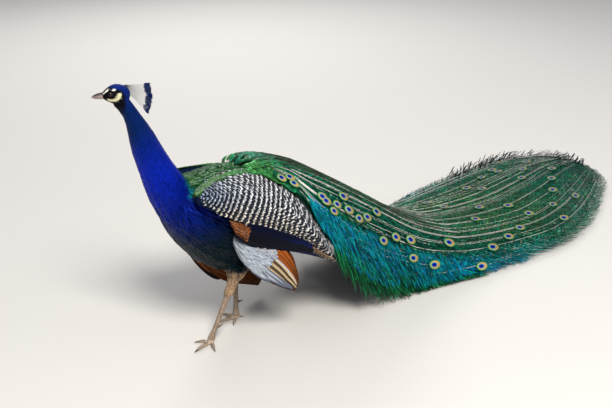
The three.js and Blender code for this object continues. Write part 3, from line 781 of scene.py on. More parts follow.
def curve_through(roots, middles, tips):
    """The way, straight reach and bend of blades that pass through three places each."""
    bend = 2 * (roots + tips) - 4 * middles
    straight = tips - roots - bend
    return unit(straight), np.linalg.norm(straight, axis=1), bend


def plant(name, blade, finish, roots, middles, tips, up, width, thick, tint, rim=None, patch=None, span=None,
          **extra):
    """Feathers as one plain mesh: one blade for each root, through its middle and its tip."""
    count = len(roots)
    way, reach, bend = curve_through(roots, middles, tips)
    mesh = bpy.data.meshes.new(name)
    mesh.vertices.add(count)
    mesh.vertices.foreach_set("co", (roots + FEET).astype(np.float32).ravel())
    size = np.stack([reach, np.broadcast_to(width, count), np.broadcast_to(thick, count)], 1)
    for label, values in (("lie", way), ("up", up), ("size", size), ("bend", bend)):
        store(mesh, label, values)
    if patch is None:
        patch = np.stack([rng.random(count), rng.random(count)], 1) * 0.99
    if span is None:
        span = np.tile((PATCH, PATCH / 2), (count, 1))
    flat = np.zeros((count, 1))
    store(mesh, "patch", np.hstack([patch, flat]))
    store(mesh, "span", np.hstack([span, flat]))
    store(mesh, "tint", np.broadcast_to(tint, (count, 3)), "FLOAT_COLOR")
    store(mesh, "rim", np.broadcast_to(tint if rim is None else rim, (count, 3)), "FLOAT_COLOR")
    store(mesh, "chance", rng.random(count), "FLOAT")
    for label, values in extra.items():
        store(mesh, label, values)
    made = bpy.data.objects.new(name, mesh)
    scene.collection.objects.link(made)
    use_tree(made, PLUMAGE, Blade=blade, Finish=finish)
    real = apply_modifiers(made)
    real.name = name
    for label in ("lie", "up", "size", "bend", "patch", "span"):
        if label in real.attributes:
            real.attributes.remove(real.attributes[label])
    print(name, count, "feathers,", len(real.polygons), "triangles")
    return made


def finish_piece(made, slot, *nodes):
    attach(made, "root")
    if nodes:
        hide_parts(*nodes)

# %% [markdown]
# ## Feather finishes
# The colour of a peacock's feather comes from its barbs: fine slanting ridges either side of the shaft,
# with a rim that catches the light differently. The group below draws them from a point's place on the
# vane. It is shared by every kind of feather, each with its own count of barbs and width of rim.

# %% Shader group: vane
COLOUR = "NodeSocketColor"


def build_vane_group():
    tree, g, given, result = node_group(
        "vane", "ShaderNodeTree",
        [("Barbs", NUMBER, 14.0), ("Streak", NUMBER, 0.5), ("Rim From", NUMBER, 0.7),
         ("Rim Share", NUMBER, 0.8),
         ("Shaft", NUMBER, 0.0), ("Variety", NUMBER, 0.4)],
        [("Colour", COLOUR), ("Height", NUMBER)])
    parts = g.node("ShaderNodeSeparateXYZ", {"Vector": g.attribute("vane")}).outputs
    along, side = parts["X"], g.sum("ABSOLUTE", parts["Y"])
    chance = g.attribute("chance", "Fac")
    slant = g.sum("MULTIPLY_ADD", side, -0.35, along)
    ripple = g.noise(g.attribute("vane"), 9.0, 1.0)
    turns = g.sum("MULTIPLY", g.sum("MULTIPLY_ADD", ripple, 0.12, slant), given["Barbs"])
    wave = g.sum("SINE", g.sum("MULTIPLY", g.sum("ADD", turns, chance), 2 * math.pi))
    barb = g.sum("MULTIPLY_ADD", wave, 0.5, 0.5)
    past = g.sum("MAXIMUM", g.sum("MULTIPLY_ADD", along, 2.0, -1.0), 0.0)
    edge = g.sum("SQRT", g.sum("ADD", g.sum("MULTIPLY", side, side), g.sum("MULTIPLY", past, past)))
    start = given["Rim From"]
    rim = g.sum("MULTIPLY", g.step(edge, start, g.sum("ADD", start, 0.22)), given["Rim Share"])
    colour = g.mix(rim, g.attribute("tint", "Color"), g.attribute("rim", "Color"))
    dark = g.sum("SUBTRACT", 1.0, g.sum("MULTIPLY", given["Streak"], g.sum("SUBTRACT", 1.0, barb)))
    varied = g.sum("MULTIPLY_ADD", g.sum("SUBTRACT", chance, 0.5), given["Variety"], 1.0)
    light = g.sum("MULTIPLY", dark, varied)
    lit = g.lit(colour, light)
    on_shaft = g.sum("MULTIPLY", g.step(side, 0.10, 0.03), given["Shaft"])
    final = g.mix(on_shaft, lit, (0.62, 0.56, 0.46))
    g.tree.links.new(final, result["Colour"])
    g.tree.links.new(g.sum("ADD", barb, on_shaft), result["Height"])
    return tree


VANE = build_vane_group()


def new_finish(name, roughness, metallic=0.0, coat=0.0, sheen=0.0, gloss=0.12):
    material = bpy.data.materials.new(name)
    material.use_nodes = True
    shader = material.node_tree.nodes["Principled BSDF"]
    shader.inputs["Roughness"].default_value = roughness
    shader.inputs["Metallic"].default_value = metallic
    shader.inputs["Coat Weight"].default_value = coat
    shader.inputs["Specular IOR Level"].default_value = gloss
    shader.inputs["Sheen Weight"].default_value = sheen
    return material, Graph(material.node_tree), shader.inputs


def relief(g, shader, height, strength, distance):
    inputs = {"Height": height, "Strength": strength, "Distance": distance}
    g.tree.links.new(g.out("ShaderNodeBump", inputs), shader["Normal"])


def feather_finish(name, roughness, metallic, bump=0.3, sheen=0.0, **values):
    material, g, shader = new_finish(name, roughness, metallic, sheen=sheen)
    vane = g.node("ShaderNodeGroup", node_tree=VANE)
    for label, value in values.items():
        vane.inputs[label.replace("_", " ")].default_value = value
    g.tree.links.new(vane.outputs["Colour"], shader["Base Color"])
    relief(g, shader, vane.outputs["Height"], bump, 0.0004)
    return material


BLUE_FINISH = feather_finish("blue plumage", 0.46, 0.45, 0.12, Barbs=7.0, Streak=0.20, Rim_From=0.62,
                             Variety=0.32)
MANTLE_FINISH = feather_finish("green scales", 0.42, 0.40, Barbs=9.0, Streak=0.35, Rim_From=0.70,
                               Rim_Share=0.9,
                               Variety=0.6)
BUFF_FINISH = feather_finish("buff down", 0.85, 0.0, Barbs=6.0, Streak=0.25, Variety=0.4)
HEAD_FINISH = feather_finish("head down", 0.6, 0.1, Barbs=4.0, Streak=0.2, Variety=0.4)

# %% [markdown]
# ## The coat
# Feathers grow in zones: almost fur-like on the head, short and dense on the neck, broad and rounded on
# the breast and mantle, hairy on the thighs. The middle and tip of each feather are found by walking back
# along the lie of the coat and returning to the skin, so that every feather hugs the form beneath it.

# %% Laying feathers on the body
def lay_on_skin(roots, facing, length, lift, scatter_turn=0.18):
    """Middles and tips of feathers that lie along the coat from these roots, each with its own small turn."""
    _, way, _, _ = body_reading(roots)
    turn = rng.normal(0, scatter_turn, len(roots))
    lie = flat_to(way, facing)
    lie = unit(lie + np.cross(facing, lie) * turn[:, None])
    half = (length / 2)[:, None]
    lift = np.broadcast_to(lift, len(roots))[:, None]
    near, up = on_skin(roots + lie * half)
    middles = near + up * lift * 0.75
    lie = flat_to(lie, up)
    near, up = on_skin(near + lie * half)
    return middles, near + up * lift * (0.85 + 0.3 * rng.random((len(roots), 1)))


def body_patch(points):
    """The root's place on an unwrap of the body: along it, and round it."""
    far, _, leg, _ = body_reading(points)
    line = np.cumsum([0, *np.linalg.norm(np.diff(BODY_LINE, axis=0), axis=1)])
    middle = np.stack([np.interp(far, line, BODY_LINE[:, k]) for k in range(3)], 1)
    off = points - middle
    round_it = np.arctan2(off[:, 1], off[:, 2] + 0.6 * off[:, 0]) / (2 * math.pi) + 0.5
    return np.stack([np.clip(far / line[-1], 0, 1), round_it], 1) * 0.995


skin_points = points_of(skin.data)
skin_far, _, skin_leg, _ = body_reading(skin_points)
skin_pale, _, _ = face_marks(skin_points)
skin_r, _, skin_h = around_eye(skin_points)
off_bill = 1 - ramp(skin_h[:, 0] + 0.6 * np.abs(skin_h[:, 2] + 1.8), 33, 37)
off_eye = np.where((np.abs(skin_h[:, 1]) > 4) & (skin_far < 0.07), ramp(skin_r, 7.4, 9.4), 1)
on_body = 1 - skin_leg
ZONES = {
    # name: share of the skin, spacing, length at the front and back, width over length, lift
    "head": ((skin_far < 0.078) * off_eye * off_bill * (1 - skin_pale), 0.0011, (0.0044, 0.0070), 0.24,
             0.0006),
    "nape": (band(skin_far, 0.074, 0.15, 0.003) * on_body, 0.0016, (0.0085, 0.013), 0.26, 0.0008),
    "neck": (band(skin_far, 0.148, 0.345, 0.003) * on_body, 0.0024, (0.014, 0.022), 0.29, 0.0011),
}


def coat(name, zone, spacing, lengths, slim, lift, blade, finish, seed):
    roots, facing = scatter(skin, zone, spacing, seed)
    far, _, _, _ = body_reading(roots)
    share = (far - far.min()) / max(far.max() - far.min(), 1e-6)
    length = np.interp(share, [0, 1], lengths) * rng.uniform(0.85, 1.15, len(roots))
    middles, tips = lay_on_skin(roots, facing, length, lift)
    tint, rim = body_colours(roots)
    return plant(name, blade, finish, roots - facing * 0.0004, middles, tips, facing, length * slim,
                 np.maximum(length * 0.018, 0.0002), tint, rim, body_patch(roots))


COAT = []
for seed, (zone, (share, spacing, lengths, slim, lift)) in enumerate(ZONES.items()):
    blade, finish = (HAIR_BLADE, HEAD_FINISH) if zone == "head" else (SCALE_BLADE, BLUE_FINISH)
    COAT.append((coat(f"coat_{zone}", share, spacing, lengths, slim, lift, blade, finish, seed),
                 "head" if zone == "head" else "blue_plumage"))

on_mantle = ramp(skin_points[:, 0], -0.122, -0.112) * ramp(skin_points[:, 2], 0.420, 0.428)
breast = ramp(skin_far, 0.335, 0.345) * on_body * (1 - on_mantle)
mantle = on_mantle * ramp(skin_far, 0.335, 0.345)
COAT.append((coat("coat_breast", breast, 0.0042, (0.024, 0.034), 0.33, 0.0016, SCALE_BLADE, BLUE_FINISH, 11),
             "blue_plumage"))
COAT.append((coat("coat_mantle", mantle, 0.0052, (0.017, 0.021), 0.60, 0.0020, SCALE_BLADE, MANTLE_FINISH,
                  12),
             "green_plumage"))
thighs = skin_leg * ramp(skin_points[:, 2], 0.140, 0.150)
COAT.append((coat("coat_thighs", thighs, 0.0032, (0.016, 0.012), 0.22, 0.0016, HAIR_BLADE, BUFF_FINISH, 13),
             "buff_plumage"))
for made, slot in COAT:
    finish_piece(made, slot)

# %% [markdown]
# ## Skin, eyes, lids and bill
# Where skin shows, it is the bare face and the scaled legs. The eye is a clear-coated ball: dark brown iris
# round a black pupil, under thin fleshy lids. The two halves of the bill are copies of their solids,
# remeshed finely and smoothed, because horn has no facets.

# %% Shader group: mottle
def build_mottle_group():
    tree, g, given, result = node_group(
        "mottle", "ShaderNodeTree",
        [("Colour", COLOUR, None), ("Scale", NUMBER, 200.0), ("Amount", NUMBER, 0.3)],
        [("Colour", COLOUR), ("Height", NUMBER)])
    place = g.out("ShaderNodeTexCoord", key="Object")
    fine = g.noise(place, given["Scale"], 4.0, 0.6)
    broad = g.noise(place, g.sum("MULTIPLY", given["Scale"], 0.22), 2.0)
    both = g.sum("ADD", g.sum("MULTIPLY", fine, 0.6), g.sum("MULTIPLY", broad, 0.4))
    light = g.sum("MULTIPLY_ADD", g.sum("SUBTRACT", both, 0.5), g.sum("MULTIPLY", given["Amount"], 2.0), 1.0)
    g.tree.links.new(g.lit(given["Colour"], light), result["Colour"])
    g.tree.links.new(fine, result["Height"])
    return tree


MOTTLE = build_mottle_group()


def mottled(name, colour, roughness, scale, amount, bump=0.3, distance=0.0003, coat=0.0):
    """colour is a fixed colour, or the name of an attribute that holds it."""
    material, g, shader = new_finish(name, roughness, coat=coat)
    source = g.attribute(colour, "Color") if isinstance(colour, str) else (*colour, 1)
    group = g.node("ShaderNodeGroup", {}, node_tree=MOTTLE)
    if isinstance(colour, str):
        g.tree.links.new(source, group.inputs["Colour"])
    else:
        group.inputs["Colour"].default_value = source
    group.inputs["Scale"].default_value = scale
    group.inputs["Amount"].default_value = amount
    g.tree.links.new(group.outputs["Colour"], shader["Base Color"])
    relief(g, shader, group.outputs["Height"], bump, distance)
    return material


skin.data.materials.clear()
skin.data.materials.append(mottled("skin", "tint", 0.55, 900, 0.18, 0.35, 0.0004))
smooth_faces(skin.data)
finish_piece(skin, "head", *SKIN_NODES)

# %% Eyes and lids
def ball_about(centre, axis, radius, rings, around):
    """Points and faces of a ball whose first pole is on the axis, and each point's angle from it, 0 to 1."""
    axis = unit(np.asarray(axis, float))
    side = unit(np.cross(axis, (0, 0, 1)))
    up = np.cross(side, axis)
    points, polar = [centre + axis * radius], [0.0]
    for i in range(1, rings):
        angle = math.pi * i / rings
        for j in range(around):
            turn = 2 * math.pi * j / around
            out = math.cos(angle) * axis + math.sin(angle) * (math.cos(turn) * side + math.sin(turn) * up)
            points.append(centre + out * radius)
            polar.append(i / rings)
    points.append(centre - axis * radius)
    polar.append(1.0)
    faces = []
    for j in range(around):
        k = (j + 1) % around
        faces.append((0, 1 + k, 1 + j))
        last = 1 + (rings - 2) * around
        faces.append((len(points) - 1, last + j, last + k))
        for i in range(rings - 2):
            a = 1 + i * around
            faces.append((a + j, a + k, a + around + k, a + around + j))
    return np.array(points), faces, np.array(polar)


def outward(made):
    shell = bmesh.new()
    shell.from_mesh(made.data)
    bmesh.ops.recalc_face_normals(shell, faces=shell.faces[:])
    shell.to_mesh(made.data)
    shell.free()
    return made


def eye_finish():
    material, g, shader = new_finish("eye", 0.18, coat=0.30, gloss=0.2)
    polar = g.attribute("polar", "Fac")
    fibre = g.noise(g.out("ShaderNodeTexCoord", key="Object"), 2500.0, 3.0)
    iris = g.mix(fibre, tuple(paint(18, 9, 5)), tuple(paint(58, 28, 13)))
    colour = g.mix(g.step(polar, 0.17, 0.20), (0.001, 0.001, 0.001), iris)
    colour = g.mix(g.step(polar, 0.31, 0.36), colour, tuple(paint(14, 8, 6)))
    g.tree.links.new(colour, shader["Base Color"])
    return material


EYE_FINISH = eye_finish()
EYE_SUNK = 1.7  # mm that the ball sits deeper than its solid, so that the lids hold it
LID_FINISH = mottled("lids", paint(30, 27, 32), 0.5, 2600, 0.4, 0.6, 0.0003)
for side, sign in (("left", 1), ("right", -1)):
    centre = in_head([EYE_AHEAD, sign * (EYE_SIDE - EYE_SUNK), EYE_UP])
    axis = HEAD_AXES @ unit(np.array([0.22, sign * 1.0, 0.06]))
    points, faces, polar = ball_about(centre, axis, EYE_RADIUS * MM, 22, 28)
    eye = outward(new_object(f"eye_{side}_ball", points, faces, EYE_FINISH))
    store(eye.data, "polar", polar, "FLOAT")
    finish_piece(eye, "eye", f"eye_{side}")
    along = unit(np.cross(HEAD_AXES @ np.array([0, 0, 1.0]), axis))
    up = np.cross(axis, along)
    ring_points, ring_faces = [], []
    around, thick = 40, 8
    for i in range(around):
        turn = 2 * math.pi * i / around
        pinch = 1.0 + 0.10 * abs(math.cos(turn)) ** 3
        way = math.cos(turn) * along * pinch + math.sin(turn) * up * 0.80
        reach = EYE_RADIUS * MM * 0.86
        middle = centre + way * reach + axis * EYE_RADIUS * MM * (0.52 - 0.1 * abs(math.cos(turn)) ** 2)
        for j in range(thick):
            roll = 2 * math.pi * j / thick
            fat = (1.25 + 0.35 * math.sin(turn) ** 2) * MM
            ring_points.append(middle + (unit(way) * math.cos(roll) + axis * math.sin(roll)) * fat)
            a, b = i * thick, ((i + 1) % around) * thick
            ring_faces.append((a + j, a + (j + 1) % thick, b + (j + 1) % thick, b + j))
    lids = outward(new_object(f"eyelids_{side}", ring_points, ring_faces, LID_FINISH))
    finish_piece(lids, "head")

# %% Bill and claws
def horn_finish(name, pale, dark, low, high, axis_attribute):
    """Horn that darkens along an attribute, with fine growth lines."""
    material, g, shader = new_finish(name, 0.38, coat=0.25)
    share = g.attribute(axis_attribute, "Fac")
    place = g.out("ShaderNodeTexCoord", key="Object")
    lines = g.noise(g.vector_sum("MULTIPLY", place, (300, 300, 1600)), 1.0, 3.0)
    colour = g.mix(g.step(share, low, high), tuple(pale), tuple(dark))
    colour = g.mix(g.sum("MULTIPLY", lines, 0.35), colour, tuple(dark * 0.6))
    g.tree.links.new(colour, shader["Base Color"])
    relief(g, shader, lines, 0.25, 0.0002)
    return material


def smooth_copy(name, nodes, voxel, rounds, most, finish, slot, shade):
    made = softened(name, nodes, voxel, rounds)
    thin = made.modifiers.new("thin", "DECIMATE")
    thin.ratio = min(1.0, most / triangle_count(made))
    apply_modifiers(made)
    made.data.materials.clear()
    made.data.materials.append(finish)
    smooth_faces(made.data)
    store(made.data, "shade", shade(points_of(made.data)), "FLOAT")
    finish_piece(made, slot, *nodes)
    print(name, triangle_count(made), "triangles")
    return made


BILL_FINISH = horn_finish("bill horn", paint(156, 138, 134), paint(50, 45, 48), 0.30, 0.85, "shade")
CLAW_FINISH = horn_finish("claw horn", paint(120, 108, 96), paint(44, 38, 34), 0.0, 1.0, "shade")


def bill_shade(points):
    h = to_head(points)
    return np.clip(0.35 + (h[:, 2] + 1.8) / 8 + (h[:, 0] - 45) / 40, 0, 1)


def claw_shade(points):
    feet = [np.array(line[-1]) for line in LEG_LINES.values()]
    away = np.min([np.linalg.norm((points - f)[:, :2], axis=1) for f in feet], axis=0)
    return np.clip((away - 0.030) / 0.03, 0, 1)


for half in ("upper", "lower"):
    smooth_copy(f"bill_{half}_horn", [f"bill_{half}"], 0.0007, 3, 12000, BILL_FINISH, "bill", bill_shade)
for side in ("left", "right"):
    nodes = [n for n in frame["nodes"] if n.startswith(f"claw_{side}")]
    smooth_copy(f"claws_{side}", nodes, 0.0004, 4, 2600, CLAW_FINISH, "horn", claw_shade)
    smooth_copy(f"spur_{side}_horn", [f"spur_{side}"], 0.0005, 4, 700, CLAW_FINISH, "horn", claw_shade)

# %% [markdown]
# ## The folded wings
# A folded wing is a stack of panels: the scaly shield of small coverts over the shoulder, the dark
# secondaries below it, and the tips of the primaries hanging under those. Each panel lies between a top
# and a bottom edge and bulges outwards. A closed pad fills it, and the feathers overlap on the pad
# like tiles, each row hiding the roots of the one behind.

# %% Panels, in mm
SHIELD = {
    "top": [(-124, -80, 436), (-84, -60, 448), (-36, -48, 454), (50, -48, 450), (104, -66, 428),
            (152, -112, 368), (202, -146, 276), (240, -160, 192)],
    "bottom": [(-126, -92, 434), (-92, -117, 404), (-40, -131, 374), (22, -139, 326), (90, -147, 286),
               (146, -154, 256), (196, -160, 222), (241, -163, 188)],
    "bulge": 15, "depth": 16}
SECONDARIES = {
    "top": [(-56, -124, 376), (0, -134, 345), (80, -146, 300), (150, -153, 262), (240, -162, 196)],
    "bottom": [(-44, -124, 345), (-12, -133, 312), (40, -141, 280), (120, -149, 252), (241, -164, 192)],
    "bulge": 4.5, "depth": 4.5}
PRIMARIES = {
    "left": {
        "top": [(-36, -112, 330), (10, -128, 305), (70, -142, 276), (110, -149, 246), (134, -151, 158)],
        "bottom": [(-34, -106, 306), (-8, -114, 248), (24, -124, 210), (66, -134, 176), (124, -147, 134)],
        "bulge": 4, "depth": 4},
    "right": {
        "top": [(-36, -112, 330), (20, -128, 290), (90, -128, 226), (150, -116, 140), (204, -104, 36)],
        "bottom": [(-52, -98, 300), (-42, -92, 214), (6, -92, 156), (62, -92, 90), (192, -102, 24)],
        "bulge": 4, "depth": 4}}


def on_panel(panel, side, along, across, lift=0.0, inner=False):
    """Places on a wing panel, and which way it faces there. along runs front to tip, across top to bottom."""
    along, across = np.broadcast_arrays(np.asarray(along, float), np.asarray(across, float))
    a, b = through(panel["top"], along), through(panel["bottom"], along)
    ahead = sum(through(panel[e], along + 0.02) - through(panel[e], along - 0.02) for e in ("top", "bottom"))
    out = unit(np.cross(unit(ahead), unit(b - a)))
    out *= np.where(out[..., 1:2] > 0, -1, 1)
    ends = np.minimum(1, 4 * np.minimum(along + 0.08, 1.04 - along))
    swell = -panel["depth"] if inner else panel["bulge"]
    off = np.sin(across * math.pi) * swell * ends + lift
    mirror = np.array([1, -1 if side == "right" else 1, 1])
    return (a + (b - a) * across[..., None] + out * off[..., None]) * MM * mirror, out * mirror


TUCK = 0.20  # share across the far shield


def closed_sheet(name, upper, lower, material):
    """A thin solid between two grids of the same size, closed round its edge."""
    rows, columns, _ = upper.shape
    points = np.concatenate([upper.reshape(-1, 3), lower.reshape(-1, 3)])
    index = np.arange(rows * columns).reshape(rows, columns)
    under = index + rows * columns
    faces = []
    for i in range(rows - 1):
        for j in range(columns - 1):
            faces.append((index[i, j], index[i, j + 1], index[i + 1, j + 1], index[i + 1, j]))
            faces.append((under[i, j], under[i + 1, j], under[i + 1, j + 1], under[i, j + 1]))
    rim = [*index[0, :], *index[1:, -1], *index[-1, -2::-1], *index[-2:0:-1, 0]]
    for a, b in zip(rim, rim[1:] + rim[:1]):
        faces.append((a, a + rows * columns, b + rows * columns, b))
    return outward(new_object(name, points, faces, material))


def tucked(along, across):
    """The far shield's feathers and pad stop short of its top edge over the front half."""
    return 1 - (1 - across) * (1 - TUCK * (1 - ramp(along, 0.45, 0.7)))


def wing_pad(name, panel, side, finish):
    along, across = np.meshgrid(np.linspace(0.03, 0.99, 28), np.linspace(0, 1, 12), indexing="ij")
    if side == "right" and panel is SHIELD:
        across = tucked(along, across)  # leaves a rim up to 19 mm wide, which shows from above
    upper, _ = on_panel(panel, side, along, across, -0.8)
    lower, _ = on_panel(panel, side, along, across, -2.0, inner=True)
    pad = closed_sheet(name, upper, lower, finish)
    place = np.stack([along.ravel(), across.ravel(), np.zeros(along.size)], 1)
    return pad, np.concatenate([place, place + (0, 0, 1)])


def panel_length(panel):
    middle, _ = on_panel(panel, "left", np.linspace(0, 1, 40), 0.5)
    return np.linalg.norm(np.diff(middle, axis=0), axis=1).sum()


def panel_rows(panel, side, roots_at, length, lift, sink=0.0):
    """Roots, middles and tips of feathers that run along a panel from places (along, across) on it."""
    along, across = roots_at[:, 0], roots_at[:, 1]
    step = length / panel_length(panel)
    roots, up = on_panel(panel, side, along, across, -0.4 - sink)
    middles, _ = on_panel(panel, side, np.minimum(along + step / 2, 1), across, lift * 0.8)
    tips, _ = on_panel(panel, side, np.minimum(along + step, 1), across, lift)
    return roots, middles, tips, up

# %% [markdown]
# The coverts of the shield are barred: wavy cream lines on blue-black, across the lie of the feathers.
# The bars run on from one feather to the next, because they follow the distance along the wing, and each
# feather's own curve gives them their ripple. Towards the rear they break into separate strokes.

# %% Shader group: bars
def build_bars_group():
    tree, g, given, result = node_group(
        "bars", "ShaderNodeTree",
        [("Pale", COLOUR, None), ("Dark", COLOUR, None), ("Bow", NUMBER, 0.35), ("Pale Share", NUMBER, 0.42),
         ("Soft", NUMBER, 0.10)],
        [("Colour", COLOUR), ("Height", NUMBER)])
    vane = g.node("ShaderNodeSeparateXYZ", {"Vector": g.attribute("vane")}).outputs
    beat = g.node("ShaderNodeSeparateXYZ", {"Vector": g.attribute("beat")}).outputs
    side = vane["Y"]
    squared = g.sum("MULTIPLY", side, side)
    ripple = g.noise(g.vector_sum("ADD", g.attribute("vane"), g.attribute("beat")), 3.0, 2.0)
    phase = g.sum("MULTIPLY_ADD", vane["X"], beat["Y"], beat["X"])
    phase = g.sum("MULTIPLY_ADD", squared, given["Bow"], phase)
    phase = g.sum("MULTIPLY_ADD", ripple, 0.5, phase)
    turn = g.sum("FRACT", phase)
    distance = g.sum("ABSOLUTE", g.sum("SUBTRACT", turn, 0.5))
    half = g.sum("MULTIPLY", given["Pale Share"], 0.5)
    outer = g.sum("ADD", half, given["Soft"])
    pale = g.step(distance, outer, g.sum("SUBTRACT", half, g.sum("MULTIPLY", given["Soft"], 0.5)))
    colour = g.mix(pale, given["Dark"], given["Pale"])
    g.tree.links.new(colour, result["Colour"])
    g.tree.links.new(pale, result["Height"])
    return tree


BARS = build_bars_group()


def barred_finish(name, dark, roughness, bow, pale_share, pale_key="tint"):
    material, g, shader = new_finish(name, roughness, sheen=0.1)
    group = g.node("ShaderNodeGroup", node_tree=BARS)
    g.tree.links.new(g.attribute(pale_key, "Color"), group.inputs["Pale"])
    group.inputs["Dark"].default_value = (*dark, 1)
    group.inputs["Bow"].default_value = bow
    group.inputs["Pale Share"].default_value = pale_share
    vane = g.node("ShaderNodeGroup", node_tree=VANE)
    vane.inputs["Barbs"].default_value = 16.0
    colour = g.mix(0.18, group.outputs["Colour"], vane.outputs["Colour"], "MULTIPLY")
    g.tree.links.new(colour, shader["Base Color"])
    relief(g, shader, vane.outputs["Height"], 0.25, 0.0003)
    return material


BAR_CREAM = paint(226, 228, 230)
BAR_BUFF = paint(214, 190, 152)
BAR_SHADED = paint(132, 152, 184)
BAR_DARK = paint(22, 28, 40)
RUFOUS = paint(166, 88, 34)
BARRED_FINISH = barred_finish("barred coverts", BAR_DARK, 0.6, 0.42, 0.25)
# The dark navy pads stand for the down under the coverts and secondaries. Their darkness is also painted
# shade where they show in the gaps between the feathers.
DOWN_AND_SHADE_PAD = mottled("dark down and painted shade", paint(8, 24, 50), 0.9, 500, 0.5)
PRIMARY_PAD = mottled("rufous down", paint(84, 46, 22), 0.9, 500, 0.4)
BAR_STEP = 0.0130  # metres from one bar to the next

# %% Shields
for side in ("left", "right"):
    pad, place = wing_pad(f"shield_pad_{side}", SHIELD, side, DOWN_AND_SHADE_PAD)
    finish_piece(pad, "barred_plumage", f"wing_{side}_coverts")
    outer = (place[:, 2] < 0.5).astype(float)
    roots, facing, where = scatter(pad, outer, 0.0058, 21, place)
    count = len(where)
    along, across = where[:, 0], where[:, 1]
    length = np.interp(along, [0, 0.3, 0.75, 1], [0.018, 0.022, 0.028, 0.022]) * rng.uniform(0.9, 1.1, count)
    roots, middles, tips, up = panel_rows(SHIELD, side, where, length, 1.9)
    width = length * np.interp(along, [0, 1], [0.66, 0.56])
    loose = np.interp(along, [0, 0.45, 0.7, 1], [0.02, 0.05, 0.20, 0.30])
    # the bars lean, so that they run down and forwards over the shield, most at its front
    lean = np.interp(along, [0, 0.5, 1], [0.092, 0.062, 0.020])
    run = along * panel_length(SHIELD) + across * lean
    start = run / BAR_STEP + rng.normal(0, 1, count) * loose
    beat = np.stack([start, length / BAR_STEP, rng.random(count) * 4], 1)
    warm = ramp(across + 0.35 * along, 0.55, 1.15)
    tint = blend(BAR_CREAM, BAR_BUFF, warm * 0.6)
    tint = blend(tint, BAR_SHADED, (1 - ramp(along, 0.10, 0.42)) * (1 - warm) * 0.85)
    tint *= rng.uniform(0.72, 1.1, (count, 1)) * (1 - 0.25 * ramp(along, 0.5, 1))[:, None]
    patch = np.stack([along, across * 0.45 + 0.5 * (side == "right")], 1) * 0.99
    feathers = plant(f"coverts_{side}", COVERT_BLADE, BARRED_FINISH, roots, middles, tips, up, width,
                     0.0004, tint, tint, patch, beat=beat)
    finish_piece(feathers, "barred_plumage")

# %% [markdown]
# Below the shield the long secondaries lie like closed fan sticks, black with a blue sheen, and the last
# few, nearest the body, are brown with buff stripes. The primaries under them are rufous. On the near
# side the front ones are hidden by loose white and cream flank feathers.

# %% Flight feathers
def fan_of(panel, side, count, spread, root_at, tip_at, width, lift, sway=0.0):
    """Long feathers side by side across a panel. root_at and tip_at are (first, last) along it."""
    k = np.linspace(0, 1, count)
    across = spread[0] + (spread[1] - spread[0]) * k
    first, last = root_at[0] + (root_at[1] - root_at[0]) * k, tip_at[0] + (tip_at[1] - tip_at[0]) * k
    lifts = lift + 0.45 * np.arange(count)
    roots, up = on_panel(panel, side, first, across, lifts - 1.5)
    middles, _ = on_panel(panel, side, (first + last) / 2, across + sway * 0.25, lifts)
    tips, _ = on_panel(panel, side, last, across + sway, lifts * 0.6)
    return roots, middles, tips, up, np.linspace(width[0], width[1], count)


def patch_grid(count, row, height=0.05):
    """A tile of its own on the map for each large feather, in rows."""
    k = np.arange(count)
    patch = np.stack([(k % 8) * 0.124 + 0.002, row * height + (k // 8) * height * 0.5], 1)
    return patch, np.tile((0.118, height * 0.21), (count, 1))


NIGHT = paint(10, 13, 28)
QUILL_BLACK = feather_finish("black quills", 0.38, 0.35, 0.25, Barbs=60.0, Streak=0.3, Rim_From=0.85,
                             Variety=0.3)
QUILL_RUFOUS = feather_finish("rufous quills", 0.6, 0.0, 0.3, Barbs=70.0, Streak=0.22, Rim_From=0.80,
                              Shaft=0.5,
                              Variety=0.25)
QUILL_STRIPED = feather_finish("striped quills", 0.7, 0.0, 0.3, Barbs=50.0, Streak=0.30, Rim_From=0.50,
                               Rim_Share=1.0, Shaft=0.3, Variety=0.3)
FLUFF_FINISH = feather_finish("white down", 0.8, 0.0, 0.5, Barbs=30.0, Streak=0.34, Rim_From=0.70,
                              Rim_Share=0.9,
                              Shaft=0.15, Variety=0.25)
BROWN = paint(66, 46, 32)
DARK_EDGE = paint(36, 24, 18)
DOWN_WHITE = paint(186, 194, 206)
# Grey down. As the rim of the white quills under the wing, it is painted shade between the overlapping
# feathers.
GREY_DOWN_AND_SHADE = paint(104, 110, 128)
CREAM = paint(200, 176, 136)
BUFF_GREY = paint(150, 130, 112)

# One line for each long feather under the near wing, from the rear edge forwards: where it starts and ends
# along the panel, and across it at the root and at the tip, its width in metres, its colour and its rim.
UNDER_WING = [
    (0.02, 0.995, 0.02, 0.10, 0.034, RUFOUS, DARK_EDGE), (0.03, 0.990, 0.14, 0.22, 0.030, RUFOUS, DARK_EDGE),
    (0.04, 0.985, 0.24, 0.30, 0.024, RUFOUS * 0.8, DARK_EDGE),
    (0.10, 0.970, 0.34, 0.40, 0.012, DOWN_WHITE, DOWN_WHITE),
    (0.10, 0.980, 0.40, 0.46, 0.014, BROWN, CREAM), (0.10, 0.985, 0.47, 0.56, 0.013, CREAM, BROWN),
    (0.10, 0.990, 0.54, 0.66, 0.013, BROWN, CREAM), (0.12, 0.985, 0.62, 0.76, 0.012, CREAM, BROWN),
    # the white quills' grey rims are painted shade between them
    (0.14, 0.960, 0.70, 0.90, 0.017, DOWN_WHITE, GREY_DOWN_AND_SHADE),
    (0.14, 0.900, 0.80, 0.98, 0.015, DOWN_WHITE * 0.9, GREY_DOWN_AND_SHADE),
    (0.12, 0.740, 0.93, 1.00, 0.020, DOWN_WHITE, GREY_DOWN_AND_SHADE)]

